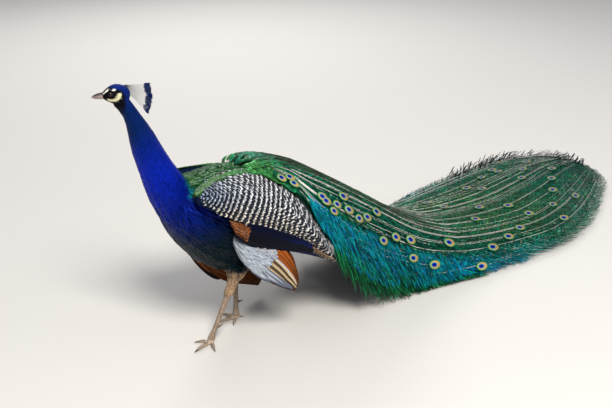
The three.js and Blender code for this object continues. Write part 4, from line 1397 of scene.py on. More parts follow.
for side in ("left", "right"):
    pad, _ = wing_pad(f"secondary_pad_{side}", SECONDARIES, side, DOWN_AND_SHADE_PAD)
    finish_piece(pad, "black_plumage", f"wing_{side}_secondaries")
    roots, middles, tips, up, width = fan_of(SECONDARIES, side, 11, (0.96, 0.06), (0.02, 0.10), (0.60, 0.995),
                                             (0.024, 0.032), 0.4)
    patch, span = patch_grid(11, 0)
    # The blue rim colour of these black quills is a painted sheen.
    made = plant(f"secondaries_{side}", QUILL_BLADE, QUILL_BLACK, roots, middles, tips, up, width, 0.0016,
                 NIGHT * rng.uniform(0.7, 1.3, (11, 1)), paint(22, 34, 84), patch, span)
    finish_piece(made, "black_plumage")
    roots, middles, tips, up, width = fan_of(SHIELD, side, 6, (1.0, 0.86), (0.56, 0.70), (0.97, 1.0),
                                             (0.013, 0.011), 0.6)
    patch, span = patch_grid(6, 2)
    made = plant(f"tertials_{side}", QUILL_BLADE, QUILL_STRIPED, roots, middles, tips, up, width, 0.0012,
                 BROWN * rng.uniform(0.6, 1.1, (6, 1)), paint(150, 124, 96), patch, span)
    finish_piece(made, "black_plumage")
    count = 90
    place = np.stack([rng.uniform(0.0, 0.16, count), rng.uniform(0.0, 1.0, count)], 1)
    length = rng.uniform(0.020, 0.032, count)
    roots, middles, tips, up = panel_rows(SECONDARIES, side, place, length, 6.0)
    made = plant(f"alula_{side}", COVERT_BLADE, QUILL_RUFOUS, roots, middles, tips, up, length * 0.32, 0.0005,
                 blend(RUFOUS * 0.8, BROWN, rng.random(count) * 0.7), BROWN,
                 place * (0.3, 0.2) + (0.6, 0.7))
    finish_piece(made, "rufous_plumage")

    panel = PRIMARIES[side]
    pad, _ = wing_pad(f"primary_pad_{side}", panel, side, PRIMARY_PAD)
    finish_piece(pad, "rufous_plumage", f"wing_{side}_primaries")
    start, end, root_across, tip_across, width = (np.array([row[k] for row in UNDER_WING]) for k in range(5))
    number = np.arange(len(UNDER_WING))
    lifts = 1.2 + 0.5 * number
    if side == "right":
        width = width * 1.6
    roots, up = on_panel(panel, side, start, root_across, lifts - 1.5)
    middles, _ = on_panel(panel, side, (start + end) / 2, (root_across + tip_across) / 2, lifts)
    tips, _ = on_panel(panel, side, end, tip_across, lifts * 0.6)
    tint, rim = (np.array([row[k] for row in UNDER_WING]) for k in (5, 6))
    patch, span = patch_grid(len(UNDER_WING), 4)
    for kind, pick, finish, slot in (("primaries", number < 3, QUILL_RUFOUS, "rufous_plumage"),
                                     ("flank_quills", number > 2, QUILL_STRIPED, "buff_plumage")):
        if side == "right":
            tint[number > 2] = RUFOUS * 0.85
            rim[number > 2] = DARK_EDGE
        made = plant(f"{kind}_{side}", QUILL_BLADE, finish, roots[pick], middles[pick], tips[pick], up[pick],
                     width[pick], 0.0013, tint[pick], rim[pick], patch[pick], span[pick])
        finish_piece(made, slot)
    # the side of this panel that faces the body has its own row, seen past the legs
    count = 9
    k = np.linspace(0.03, 0.97, count)
    roots, up = on_panel(panel, side, 0.04 + 0.02 * k, k, 1.0, inner=True)
    middles, _ = on_panel(panel, side, 0.5, k, -3.0, inner=True)
    tips, _ = on_panel(panel, side, 0.985, k, -2.0, inner=True)
    patch, span = patch_grid(count, 8)
    made = plant(f"primaries_inner_{side}", QUILL_BLADE, QUILL_RUFOUS, roots, middles, tips, -up, 0.020,
                 0.0012,
                 RUFOUS * rng.uniform(0.55, 0.9, (count, 1)), DARK_EDGE, patch, span)
    finish_piece(made, "rufous_plumage")
    count = 260
    place = np.stack([rng.uniform(-0.04, 0.34, count), rng.uniform(0.10, 1.0, count)], 1)
    place = place[np.argsort(-place[:, 0])]
    length = rng.uniform(0.045, 0.075, count) * (1 - 0.35 * place[:, 0])
    roots, middles, tips, up = panel_rows(panel, side, place, length, 6.0, sink=1.0)
    tips += up * rng.uniform(-1.0, 2.5, (count, 1)) * MM
    grey = ramp(0.5 - place[:, 1] + rng.normal(0, 0.2, count), 0, 0.6)
    tint = blend(DOWN_WHITE, GREY_DOWN_AND_SHADE, grey * 0.8)
    tint = blend(tint, BUFF_GREY, (place[:, 1] < 0.25) * rng.random(count))
    made = plant(f"flank_down_{side}", COVERT_BLADE, FLUFF_FINISH, roots, middles, tips, up, length * 0.15,
                 0.0005,
                 tint, DOWN_WHITE, np.stack([place[:, 0] + 0.05, place[:, 1] * 0.45], 1))
    finish_piece(made, "buff_plumage")

# %% [markdown]
# ## The train
# The train is what everyone looks at. It is made of some hundred and fifty long feathers that grow from
# the lower back, each a pale tapering shaft with loose separate barbs, called herls, and most with a
# ringed eyespot near the tip. Together they lie as one surface, high along the ridge and sloping to
# the floor on both sides. Here that surface is a rule: a share of the way from root to tip and a share of
# the way across give a place on it.

# %% The train's surface, in mm
TRAIN = np.array([
    # distance back, ridge height, left edge, right edge, left edge's height, right edge's height, sag
    (36, 468, -44, 44, 446, 446, 0.6), (90, 464, -68, 68, 428, 428, 0.6),
    (160, 445, -114, 114, 366, 366, 0.56),
    (240, 411, -158, 156, 222, 222, 0.48), (330, 356, -172, 168, 104, 104, 0.42),
    (440, 285, -172, 166, 36, 60, 0.42), (600, 180, -192, 176, 2, 44, 0.5), (760, 110, -232, 214, 2, 44, 0.6),
    (940, 78, -264, 264, 2, 44, 0.75), (1120, 58, -284, 314, 2, 34, 0.9), (1320, 46, -244, 352, 2, 18, 1),
    (1520, 36, -154, 364, 2, 8, 1), (1680, 26, -50, 316, 2, 2, 1), (1760, 14, 64, 236, 2, 2, 1)])
EDGE_THICKNESS = 6
STEP = 0.002


def train_place(share, across):
    share, across = np.broadcast_arrays(np.asarray(share, float), np.asarray(across, float))
    x, ridge, left, right, left_z, right_z, sag = (through(TRAIN[:, k], share) for k in range(7))
    edge, low = np.where(across < 0, left, right), np.where(across < 0, left_z, right_z)
    middle = (left + right) / 2
    size = np.abs(across)
    fall = 1 - np.minimum(size, 1) ** (1.6 / sag)
    y = middle + (edge - middle) * size
    return np.stack([x, y, low + EDGE_THICKNESS + (ridge - low - EDGE_THICKNESS) * fall], -1) * MM


def train_ways(share, across):
    """Steps in metres for a unit of share and of across, and the way the surface faces."""
    along = (train_place(share + STEP, across) - train_place(share - STEP, across)) / (2 * STEP)
    over = (train_place(share, across + STEP) - train_place(share, across - STEP)) / (2 * STEP)
    return along, over, unit(np.cross(along, over))


def on_train(share, across, lift=0.0):
    """Places on the train, lifted in mm. Past an edge a place goes on sideways and drops."""
    share, across = np.clip(share, 0.0, 1.0), np.asarray(across, float)
    inside = np.clip(across, -0.999, 0.999)
    _, over, facing = train_ways(np.clip(share, STEP, 1 - STEP), inside)
    place = train_place(share, inside) + facing * (np.asarray(lift, float) * MM)[..., None]
    return place + over * (across - inside)[..., None], facing


def share_at(x_mm):
    """The share of the way along at a distance behind the feet."""
    shares = np.linspace(0, 1, 400)
    return np.interp(x_mm, through(TRAIN[:, 0], shares), shares)


def train_shift(share, across, forward, sideways, lift):
    """Walks over the train by metres forward and sideways."""
    along, over, _ = train_ways(np.clip(share, STEP, 1 - STEP), np.clip(across, -0.98, 0.98))
    new_share = share + forward / np.linalg.norm(along, axis=-1)
    new_across = across + sideways / np.linalg.norm(over, axis=-1)
    return *on_train(new_share, new_across, lift), new_across

# %% [markdown]
# Under the feathers lies a dark bed, which stands for the mass of down and barbs that no light reaches.
# It keeps the train from being see-through between its herls.

# %% Train bed
LIES_BELOW, HANGS_ABOVE = 0.012, 0.044
train_bed_finish = mottled("train depths", paint(10, 34, 26), 0.8, 320, 0.7, 0.6, 0.002)
share_grid, across_grid = np.meshgrid(np.linspace(0, 0.92, 110), np.linspace(-1, 1, 44), indexing="ij")
narrower = 0.985 - 0.22 * ramp(share_grid, 0.46, 0.62) - 0.62 * ramp(share_grid, 0.62, 0.92)
across_grid = across_grid * narrower
upper, facing = on_train(share_grid, across_grid)
sunk = 0.0045 * np.clip((1 - np.abs(across_grid)) * 6, 0.3, 1) + 0.014 * (1 - ramp(share_grid, 0, 0.07))
upper = upper - facing * sunk[..., None]
core = 34 * np.sin(np.minimum(1, share_grid * 3 + 0.25) * 0.5 * math.pi)
thick = EDGE_THICKNESS + (core - EDGE_THICKNESS) * (1 - across_grid**2) * (1 - 0.5 * share_grid)
lower = upper.copy()
bottom = upper[..., 2] - thick * MM * 0.8
settle = ramp(bottom, LIES_BELOW, HANGS_ABOVE)
lower[..., 2] = np.minimum(np.maximum(bottom * settle, 0.0006), upper[..., 2] - 0.0012)
upper[..., 2] = np.maximum(upper[..., 2], 0.0022)
train_bed = closed_sheet("train_bed", upper, lower, train_bed_finish)
TRAIN_NODES = [n for n in frame["nodes"] if n.startswith("train_")]
finish_piece(train_bed, "train_plumage", *TRAIN_NODES)
print("train bed", triangle_count(train_bed), "triangles")

# %% [markdown]
# ## Where the feathers end
# Each train feather keeps to one share across, so neighbours spread apart as the train widens. The eyes
# that the camera sees are placed by where they show in its picture, in pixels across and down. A look-up
# lays a fine grid over the train, works out where the camera sees each point of it, and takes the one
# nearest to each eye. Where the train folds over and two points show at one place, the front one counts.
# The other eyes follow a rule, and the feathers without eyes run on to the outline.

# %% Eyes in the camera's picture
PICTURE = np.array([612, 408])
SENSOR_WIDTH = 36  # mm
PIXELS_AT_UNIT_DISTANCE = LENS / SENSOR_WIDTH * PICTURE[0]
EYES_BY_THE_WING = [(282, 178), (290, 177), (294, 183)]
EYES_ON_THE_FALL = [(323, 197), (326, 201), (343, 196), (337, 204), (334, 212), (349, 210), (359, 219),
                    (367, 217), (377, 212)]
EYES_ALONG_THE_EDGE = [(383, 241), (396, 238), (410, 240), (414, 259), (449, 242), (435, 265), (482, 265)]
EYES_ON_THE_FAN = [(493, 246), (509, 236), (520, 226), (529, 212), (476, 218), (479, 206), (508, 204),
                   (427, 202), (444, 206), (466, 187), (482, 187), (481, 176), (498, 170), (553, 203),
                   (564, 216), (576, 194)]
EYE_RAISED = 11  # mm above the train's surface
FRONT_WITHIN = 0.6  # pixels: points as near as this to the nearest count as the same place


def seen_by_camera(points):
    """Pixels across and down in the camera's picture, and the distance ahead of it."""
    turned = (points - CAMERA_PLACE) @ np.array(camera.rotation_euler.to_matrix())
    ahead = -turned[:, 2]
    return PICTURE / 2 + PIXELS_AT_UNIT_DISTANCE * turned[:, :2] * (1, -1) / ahead[:, None], ahead


def under_pixels(pixels):
    """The shares along and across the train that show at each pixel."""
    share, across = (grid.ravel() for grid in np.meshgrid(
        np.linspace(0, 1, 400), np.linspace(-1, 1, 241), indexing="ij"))
    seen, ahead = seen_by_camera(FEET + on_train(share, across, EYE_RAISED)[0])
    picked = []
    for pixel in pixels:
        off = np.linalg.norm(seen - pixel, axis=1)
        same_place = np.flatnonzero(off < off.min() + FRONT_WITHIN)
        picked.append(same_place[ahead[same_place].argmin()])
    return np.stack([share[picked], across[picked]], 1)


wanted = EYES_BY_THE_WING + EYES_ON_THE_FALL + EYES_ALONG_THE_EDGE + EYES_ON_THE_FAN
eyes_on_show = under_pixels(wanted)
seen_eyes, _ = seen_by_camera(FEET + on_train(*eyes_on_show.T, EYE_RAISED)[0])
print("eyes in the picture:", len(wanted), "farthest from their pixel:",
      np.linalg.norm(seen_eyes - wanted, axis=1).max().round(2))

# %% Feather plan
FAR_SIDE_EYES_END, END_EYES = 860, 8  # mm behind the feet; a count
eyes_far_side = eyes_on_show[eyes_on_show[:, 0] < share_at(FAR_SIDE_EYES_END)] * (1, -1) + (0, 0.03)
k = np.arange(END_EYES)
eyes_at_end = np.stack([share_at(1380 + 90 * (k % 3)), -0.30 + 0.155 * k], 1)
eye_share, eye_across = np.concatenate([eyes_on_show, eyes_far_side, eyes_at_end]).T

PLAIN_ENDS = 84
k = np.arange(PLAIN_ENDS)
plain_across = -0.97 + 1.94 * (k + 0.5) / PLAIN_ENDS + rng.normal(0, 0.004, PLAIN_ENDS)
plain_share = 0.985 - 0.16 * rng.random(PLAIN_ENDS) ** 1.5 - 0.16 * (k % 3 == 0)
feather_share = np.concatenate([eye_share, plain_share])
feather_across = np.concatenate([eye_across, plain_across])
feather_lift = np.concatenate([np.interp(eye_share, [0, 1], [5.5, 3.5]), np.full(PLAIN_ENDS, 2.0)])
ROOT_SHARE = 0.07
print("train feathers:", len(feather_share), "of them with eyes:", len(eye_share))

# %% [markdown]
# ## Shafts
# A shaft is a round tapering rod along the train's surface. Each is drawn as a line of points, and one
# Geometry Nodes tree turns all the lines into rods, thick at the root and fine at the tip.

# %% Tree: shafts
def build_shaft_tree():
    tree, g, given, result = node_group(
        "shafts", "GeometryNodeTree",
        [("Geometry", GEOMETRY, None), ("Sides", WHOLE, 5), ("Finish", FINISH, None)],
        [("Geometry", GEOMETRY)])
    thickness = g.out("GeometryNodeInputNamedAttribute", {"Name": "thickness"}, key="Attribute",
                      data_type="FLOAT")
    curve = g.out("GeometryNodeMeshToCurve", {"Mesh": given["Geometry"]})
    sized = g.out("GeometryNodeSetCurveRadius", {"Curve": curve, "Radius": thickness})
    ring = g.out("GeometryNodeCurvePrimitiveCircle", {"Resolution": given["Sides"], "Radius": 1.0})
    rod = g.node("GeometryNodeCurveToMesh", {"Curve": sized, "Profile Curve": ring, "Fill Caps": True})
    if "Scale" in rod.inputs:
        g.tree.links.new(thickness, rod.inputs["Scale"])
    finished = g.out("GeometryNodeSetMaterial", {"Geometry": rod.outputs[0], "Material": given["Finish"]})
    g.tree.links.new(finished, result["Geometry"])
    return tree


SHAFTS = build_shaft_tree()


def rods(name, lines, thickness, finish, sides=5, tint=None):
    """lines: (count, steps, 3) points; thickness: the same shape without the last axis, in metres."""
    count, steps, _ = lines.shape
    mesh = bpy.data.meshes.new(name)
    mesh.vertices.add(count * steps)
    mesh.vertices.foreach_set("co", (lines.reshape(-1, 3) + FEET).astype(np.float32).ravel())
    start = (np.arange(count)[:, None] * steps + np.arange(steps - 1)).ravel()
    mesh.edges.add(len(start))
    mesh.edges.foreach_set("vertices", np.stack([start, start + 1], 1).astype(np.int32).ravel())
    store(mesh, "thickness", thickness.ravel(), "FLOAT")
    if tint is not None:
        store(mesh, "tint", np.broadcast_to(tint, lines.shape).reshape(-1, 3), "FLOAT_COLOR")
    made = bpy.data.objects.new(name, mesh)
    scene.collection.objects.link(made)
    use_tree(made, SHAFTS, Sides=sides, Finish=finish)
    smooth_faces(apply_modifiers(made))
    print(name, count, "rods,", triangle_count(made), "triangles")
    return made


def back_zone(share, across):
    """Where the train is bronze: along the ridge of the back."""
    return (1 - ramp(np.abs(across), 0.36, 0.56)) * (1 - ramp(share, 0.44, 0.54)) * ramp(share, 0.08, 0.14)


SHAFT_PALE = paint(242, 236, 226)
SHAFT_DARK = paint(56, 58, 40)
SHAFT_FINISH = mottled("shafts", "tint", 0.35, 120, 0.25, 0.2, 0.0003, coat=0.2)
STEPS_ALONG = 30
t = np.linspace(0, 1, STEPS_ALONG)
path_share = ROOT_SHARE + (feather_share[:, None] - ROOT_SHARE) * t
path_across = feather_across[:, None] * (0.90 + 0.10 * ramp(t, 0, 0.5))
path_across = path_across * (1 - 0.07 * ramp(path_share, 0.45, 0.7))
shaft_lift = feather_lift + 2.4 * (rng.random(len(feather_lift)) < 0.28)
path_lift = shaft_lift[:, None] * ramp(t, -0.1, 0.2) - 6 * (1 - ramp(t, 0, 0.12))
lines, _ = on_train(path_share, path_across, path_lift)
lines[..., 2] = np.maximum(lines[..., 2], 0.003)
taper = np.interp(t, [0, 0.3, 1], [1.2, 1.0, 0.42]) * MM
thickness = np.broadcast_to(taper, path_share.shape)
dark_part = np.maximum(back_zone(path_share, path_across), 1 - ramp(path_share, 0.10, 0.17))
paleness = rng.uniform(0.25, 1.0, (len(lines), 1, 1))
shaft_tint = blend(SHAFT_PALE, SHAFT_DARK, dark_part) * paleness
train_shafts = rods("train_shafts", lines, thickness, SHAFT_FINISH, 5, shaft_tint)
finish_piece(train_shafts, "train_plumage")

# %% [markdown]
# ## Herls
# A herl is one loose barb. Herls leave the shaft on both sides, slant towards the tip and curve back a
# little, so that a feather looks combed. Their colour depends on where they are: bronze along the back,
# emerald and turquoise where the near side falls, yellow-green over the middle of the fan, and
# near-black at the far rim.

# %% Colours of the train
EMERALD = paint(8, 122, 98)
DEEP_GREEN = paint(1, 46, 40)
TRAIN_TURQUOISE = paint(0, 148, 146)
SEA_BLUE = paint(0, 98, 172)
OLIVE = paint(64, 112, 60)
BRIGHT_GREEN = paint(30, 150, 84)
DARK_BRONZE = paint(34, 58, 40)
BACK_BROWN = paint(70, 60, 42)
RIM_BLACK = paint(6, 24, 26)


def train_colours(share, across, count):
    """The herls' colour at a place on the train."""
    any_herl = rng.random(count)
    tint = blend(EMERALD, DEEP_GREEN, 0.85 * (any_herl < 0.38))
    back = blend(DARK_BRONZE, BACK_BROWN, 1.0 * (any_herl < 0.35))
    tint = blend(tint, back, back_zone(share, across) * (rng.random(count) < 0.85))
    fan = ramp(share, 0.46, 0.56) * (1 - ramp(share, 0.68, 0.82)) * band(across, -0.62, 0.60, 0.12)
    tint = blend(tint, OLIVE, fan * (rng.random(count) < 0.50))
    tint = blend(tint, BRIGHT_GREEN, 0.8 * (any_herl > 0.9))
    end = ramp(share, 0.80, 0.94)
    tint = blend(tint, DEEP_GREEN, end * 0.5)
    far_rim = ramp(np.abs(across), 0.72, 0.95) * ramp(share, 0.62, 0.8) * (across > 0)
    tint = blend(tint, RIM_BLACK, far_rim * 0.85)
    comb = ramp(np.abs(across), 0.76, 0.86) * band(share, 0.19, 0.66, 0.03)
    tint = blend(tint, TRAIN_TURQUOISE, comb * 0.85 * (any_herl > 0.30))
    blue = band(share, 0.26, 0.58, 0.04) * ramp(np.abs(across), 0.86, 0.94)
    return blend(tint, SEA_BLUE, blue * 0.8 * (any_herl > 0.5))


def herl_finish():
    material, g, shader = new_finish("herls", 0.38, metallic=0.5)
    parts = g.node("ShaderNodeSeparateXYZ", {"Vector": g.attribute("vane")}).outputs
    chance = g.attribute("chance", "Fac")
    base = g.attribute("tint", "Color")
    glint = g.mix(g.step(parts["X"], 0.35, 1.0), base, g.attribute("rim", "Color"))
    light = g.sum("MULTIPLY_ADD", g.sum("POWER", chance, 1.8), 1.5, 0.34)
    g.tree.links.new(g.lit(glint, light), shader["Base Color"])
    return material


HERL_FINISH = herl_finish()


def train_patch(share, across):
    return np.stack([np.clip(share, 0, 1), np.clip(across * 0.5 + 0.5, 0, 1)], 1) * 0.995

# %% Herls on every feather
HERL_GAP, HERL_WIDTH, HERL_THICK = 0.0065, 0.0017, 0.0006
BARE_ROOT = 0.05  # share of a shaft with no herls
herl_rows = []
for n in range(len(feather_share)):
    run = np.linalg.norm(np.diff(lines[n], axis=0), axis=1).sum()
    count = int(run / HERL_GAP)
    u = np.repeat((np.arange(count) + rng.random(count) * 0.6) / count, 2)
    row = np.stack([np.interp(u, t, path_share[n]), np.interp(u, t, path_across[n]), np.tile([-1, 1], count),
                    np.full(len(u), feather_lift[n]), np.full(len(u), rng.uniform(0.5, 1.3))])
    herl_rows.append(row[:, u > BARE_ROOT])
herl_share, herl_across, herl_side, herl_lift, herl_tone = np.concatenate(herl_rows, 1)
count = len(herl_share)
print("herls:", count)
length = np.interp(herl_share, [0.07, 0.25, 0.6, 1], [0.034, 0.048, 0.062, 0.060])
length = length * rng.uniform(0.75, 1.2, count)
slant = np.radians(np.interp(herl_share, [0, 0.3, 1], [24, 32, 38]) + rng.normal(0, 6, count))
roots, facing = on_train(herl_share, herl_across, herl_lift)
lift = herl_lift + rng.uniform(-1.5, 2.5, count)
half = length / 2
past_edge = herl_across * herl_side > 0.80
reach_out = herl_side * np.where(past_edge, 0.62, 1.0)
bowed = slant * 1.15
middles, *_ = train_shift(herl_share, herl_across, half * np.cos(bowed), reach_out * half * np.sin(bowed),
                          lift)
tips, _, tip_across = train_shift(herl_share, herl_across, length * np.cos(slant),
                                  reach_out * length * np.sin(slant), lift)
for place in (roots, middles, tips):
    place[:, 2] = np.maximum(place[:, 2], 0.0025)
tint = train_colours(herl_share, herl_across, count) * herl_tone[:, None]
rim = tint * 1.4 + GILT * 0.05
far_in = np.maximum(np.abs(tip_across) - 1, 0)
# towards the end and the far edge the feathers part, and the ground shows between them
far_edge = ramp(np.abs(herl_across), 0.70, 0.9) * ramp(herl_share, 0.55, 0.7)
sparse = np.maximum(ramp(herl_share, 0.74, 0.90), far_edge)
okay = (far_in < 0.25) & (rng.random(count) > sparse * 0.15)
ZONE_CUTS = [0, 0.24, 0.38, 0.54, 0.68, 1.01]
for zone, (low, high) in enumerate(zip(ZONE_CUTS, ZONE_CUTS[1:])):
    pick = (herl_share >= low) & (herl_share < high) & okay
    made = plant(f"train_herls_{zone + 1}", HERL_BLADE, HERL_FINISH, roots[pick], middles[pick], tips[pick],
                 facing[pick], HERL_WIDTH, HERL_THICK, tint[pick], rim[pick],
                 train_patch(herl_share[pick], herl_across[pick]))
    finish_piece(made, "train_plumage")

# %% [markdown]
# ## Eyespots
# An eyespot is a disc of tight barbs: a violet-blue heart, a turquoise ring round it, then copper, then a
# thin green rim. The disc is a low dome with rings of points, planted by the same tree as the feathers,
# and its colours are drawn by distance from its middle.

# %% Eyespot blade and finish
def make_disc(name, rings=5, around=24):
    points, places, faces = [(0.5, 0.0, 1.0)], [(0.5, 0.0, 0.0)], []
    for i in range(1, rings + 1):
        r = i / rings
        for j in range(around):
            turn = 2 * math.pi * j / around
            x, y = 0.5 + 0.5 * r * math.cos(turn), 0.5 * r * math.sin(turn) * (1 - 0.12 * math.cos(turn))
            points.append((x, y, 1 - 0.8 * r * r))
            places.append((x, y * 2, 0.0))
    points.append((0.5, 0.0, -0.2))
    places.append((0.5, 0.0, 0.0))
    for j in range(around):
        k = (j + 1) % around
        faces.append((0, 1 + j, 1 + k))
        for i in range(rings - 1):
            a = 1 + i * around
            faces.append((a + j, a + around + j, a + around + k, a + k))
        last = 1 + (rings - 1) * around
        faces.append((len(points) - 1, last + k, last + j))
    mesh = bpy.data.meshes.new(name)
    mesh.from_pydata(points, [], faces)
    smooth_faces(mesh)
    store(mesh, "vane", places)
    return bpy.data.objects.new(name, mesh)


DISC_BLADE = make_disc("disc_blade")


def eyespot_finish():
    material, g, shader = new_finish("eyespots", 0.34, metallic=0.35)
    parts = g.node("ShaderNodeSeparateXYZ", {"Vector": g.attribute("vane")}).outputs
    ahead = g.sum("MULTIPLY_ADD", parts["X"], 2.0, -1.0)
    side = parts["Y"]
    # the heart sits a little towards the root, so the copper is wider at the tip
    near = g.sum("ADD", ahead, 0.14)
    r_near = g.sum("SQRT", g.sum("ADD", g.sum("MULTIPLY", near, near), g.sum("MULTIPLY", side, side)))
    r_all = g.sum("SQRT", g.sum("ADD", g.sum("MULTIPLY", ahead, ahead), g.sum("MULTIPLY", side, side)))
    streak = g.noise(g.vector_sum("MULTIPLY", g.attribute("vane"), (3.0, 26.0, 1.0)), 2.0, 2.0)
    colour = g.mix(g.step(r_near, 0.36, 0.43), tuple(paint(8, 10, 126)), tuple(paint(20, 150, 160)))
    colour = g.mix(g.step(r_near, 0.46, 0.55), colour, tuple(paint(178, 128, 84)))
    colour = g.mix(g.step(r_all, 0.68, 0.76), colour, tuple(paint(120, 156, 84)))
    colour = g.mix(g.step(r_all, 0.82, 0.92), colour, tuple(paint(0, 116, 92)))
    light = g.sum("MULTIPLY_ADD", streak, 0.7, 0.65)
    g.tree.links.new(g.lit(colour, light), shader["Base Color"])
    relief(g, shader, streak, 0.3, 0.0004)
    return material


count = len(eye_share)
eye_size = np.interp(through(TRAIN[:, 0], eye_share), [100, 300, 600, 1500], [0.027, 0.038, 0.045, 0.047])
size = eye_size * rng.uniform(0.92, 1.08, count)
zero = np.zeros(count)
above = np.interp(eye_share, [0.5, 0.66], [13.5, 8.5])
roots, facing, _ = train_shift(eye_share, eye_across, -size * 0.5, zero, above)
middles, *_ = train_shift(eye_share, eye_across, zero, zero, above + 0.5)
tips, *_ = train_shift(eye_share, eye_across, size * 0.5, zero, above)
k = np.arange(count)
patch = np.stack([(k % 12) * 0.083 + 0.002, (k // 12) * 0.083 + 0.002], 1)
span = np.tile((0.078, 0.039), (count, 1))
eyespots = plant("eyespots", DISC_BLADE, eyespot_finish(), roots, middles, tips, facing, size * 0.64, 0.0014,
                 EMERALD, EMERALD, patch, span)
finish_piece(eyespots, "train_plumage")

# %% [markdown]
# ## The hanging edge
# Where the train falls beside the legs and lies along the floor, its side barbs hang free as a fringe:
# a close comb at the top, parting into separate green strands below.

# %% Fringe
def hanging(name, count, low, high, start, reach, tint_from, tint_to, outward_by):
    share = rng.uniform(low, high, count)
    for side_name, sign in (("left", -1), ("right", 1)):
        across = sign * rng.uniform(start[0], start[1], count)
        roots, facing = on_train(share, across, 4.0)
        lengths = np.interp(share, [low, high], reach) * rng.uniform(0.7, 1.15, count)
        along, _, _ = train_ways(share, across)
        out = np.array([0, sign, 0]) * outward_by
        down = np.array([0, 0, -1.0])
        way = unit(down + out + unit(along) * rng.uniform(0.15, 0.6, count)[:, None])
        middles = roots + (way + np.array([0, sign, 0]) * 0.18) * (lengths * 0.5)[:, None]
        tips = roots + way * lengths[:, None]
        for place in (middles, tips):
            place[:, 2] = np.maximum(place[:, 2], 0.004 + 0.01 * rng.random(count))
        mixed = rng.random(count) ** 2.2
        tint = blend(tint_from, tint_to, mixed)
        made = plant(f"{name}_{side_name}", HERL_BLADE, HERL_FINISH, roots, middles, tips, facing, 0.0018,
                     0.0007,
                     tint, tint * 1.6 + GILT * 0.1, train_patch(share, across))
        finish_piece(made, "train_plumage")


hanging("fringe", 1300, 0.22, 0.54, (0.90, 0.995), (0.095, 0.05), DEEP_GREEN, BRIGHT_GREEN, 0.25)
hanging("comb", 2200, 0.18, 0.62, (0.78, 0.97), (0.042, 0.026), TRAIN_TURQUOISE, SEA_BLUE, 0.6)

# %% [markdown]
# ## Scales of the back
# Where the train begins, short rounded feathers lie over its roots like scales. They are gilded green over
# the shoulders, brightest at the top of the back, and turn to emerald and bronze further down, where they
# grow longer. On the shoulders they also lie along the top edge of each shield.

# %% Back scales
grid_count = share_grid.size
bed_place = np.stack([np.tile(share_grid.ravel(), 2), np.tile(across_grid.ravel(), 2),
                      np.zeros(2 * grid_count)], 1)
on_top = np.arange(2 * grid_count) < grid_count
scaled = on_top * (1 - ramp(bed_place[:, 0], 0.10, 0.15))
roots, facing, place = scatter(train_bed, scaled, 0.0066, 41, bed_place)
count = len(roots)
share, across = place[:, 0], place[:, 1]
length = np.interp(share, [0, 0.15], [0.017, 0.030]) * rng.uniform(0.85, 1.15, count)
roots, facing = on_train(share, across, np.interp(share, [0, 0.07], [-10, 0.5]))
zero = np.zeros(count)
middles, *_ = train_shift(share, across, length / 2, zero, np.interp(share, [0, 0.07], [0, 6]))
tips, *_ = train_shift(share, across, length, zero, rng.uniform(6.5, 8.5, count))
bright = (1 - ramp(share, 0.09, 0.14)) * (0.15 + 0.85 * ramp(np.abs(across), 0.3, 0.7))
tint = blend(train_colours(share, across, count), MANTLE_GREEN * 0.65 + BACK_GILT * 0.35, bright)
tint *= rng.uniform(0.5, 1.3, (count, 1))
rim = blend(tint * 1.5, BACK_GILT * 1.15, bright)
made = plant("back_scales", SCALE_BLADE, MANTLE_FINISH, roots, middles, tips, facing,
             length * np.interp(share, [0, 0.22], [0.60, 0.34]), 0.0008, tint, rim,
             train_patch(share, across))
finish_piece(made, "green_plumage")

for side in ("left", "right"):
    count = 900
    along = np.sort(rng.random(count) ** 1.6 * 0.62)[::-1] + 0.005
    cover = np.interp(along, [0, 0.08, 0.2, 0.35, 0.62], [0.34, 0.28, 0.15, 0.06, 0.03])
    across = rng.uniform(-0.08, 1, count) * cover + 0.17 * (side == "right") * (1 - ramp(along, 0.45, 0.7))
    length = rng.uniform(0.013, 0.017, count)
    place = np.stack([along, across], 1)
    roots, middles, tips, up = panel_rows(SHIELD, side, place, length, 2.6)
    bright = ramp(roots[:, 0], -0.05, 0.01) * 0.9
    tint = blend(MANTLE_GREEN, MANTLE_GREEN * 0.7 + BACK_GILT * 0.3, bright)
    tint *= rng.uniform(0.5, 1.3, (count, 1))
    rim = blend(GILT, BACK_GILT * 1.15, bright)
    made = plant(f"shoulder_scales_{side}", SCALE_BLADE, MANTLE_FINISH, roots, middles, tips, up,
                 length * 0.56,
                 0.0006, tint, rim, body_patch(roots))
    finish_piece(made, "green_plumage")

# %% Scales inside the shields
# These lie on the pads' inner faces, which turn to the body, so that few of them are seen.
for side in ("left", "right"):
    count = 700
    along, across = np.sort(rng.uniform(0.02, 0.80, count))[::-1], rng.uniform(0, 0.6, count)
    if side == "right":
        across = tucked(along, across)
    step = 0.016 / panel_length(SHIELD)
    roots, out = on_panel(SHIELD, side, along, across, -1.6, inner=True)
    middles, _ = on_panel(SHIELD, side, along + step / 2, across, -4.0, inner=True)
    tips, _ = on_panel(SHIELD, side, along + step, across, -4.6, inner=True)
    tint = MANTLE_GREEN * rng.uniform(0.4, 1.1, (count, 1))
    made = plant(f"inner_scales_{side}", SCALE_BLADE, MANTLE_FINISH, roots, middles, tips, -out, 0.0095,
                 0.0006,
                 tint, GILT * 0.7, body_patch(roots))
    finish_piece(made, "green_plumage")

# %% [markdown]
# ## Dark hooks
# Along the far rim and at the very end, the last barbs are thick, dark and hooked: they stand up from the
# feathers' tips and curl over backwards.

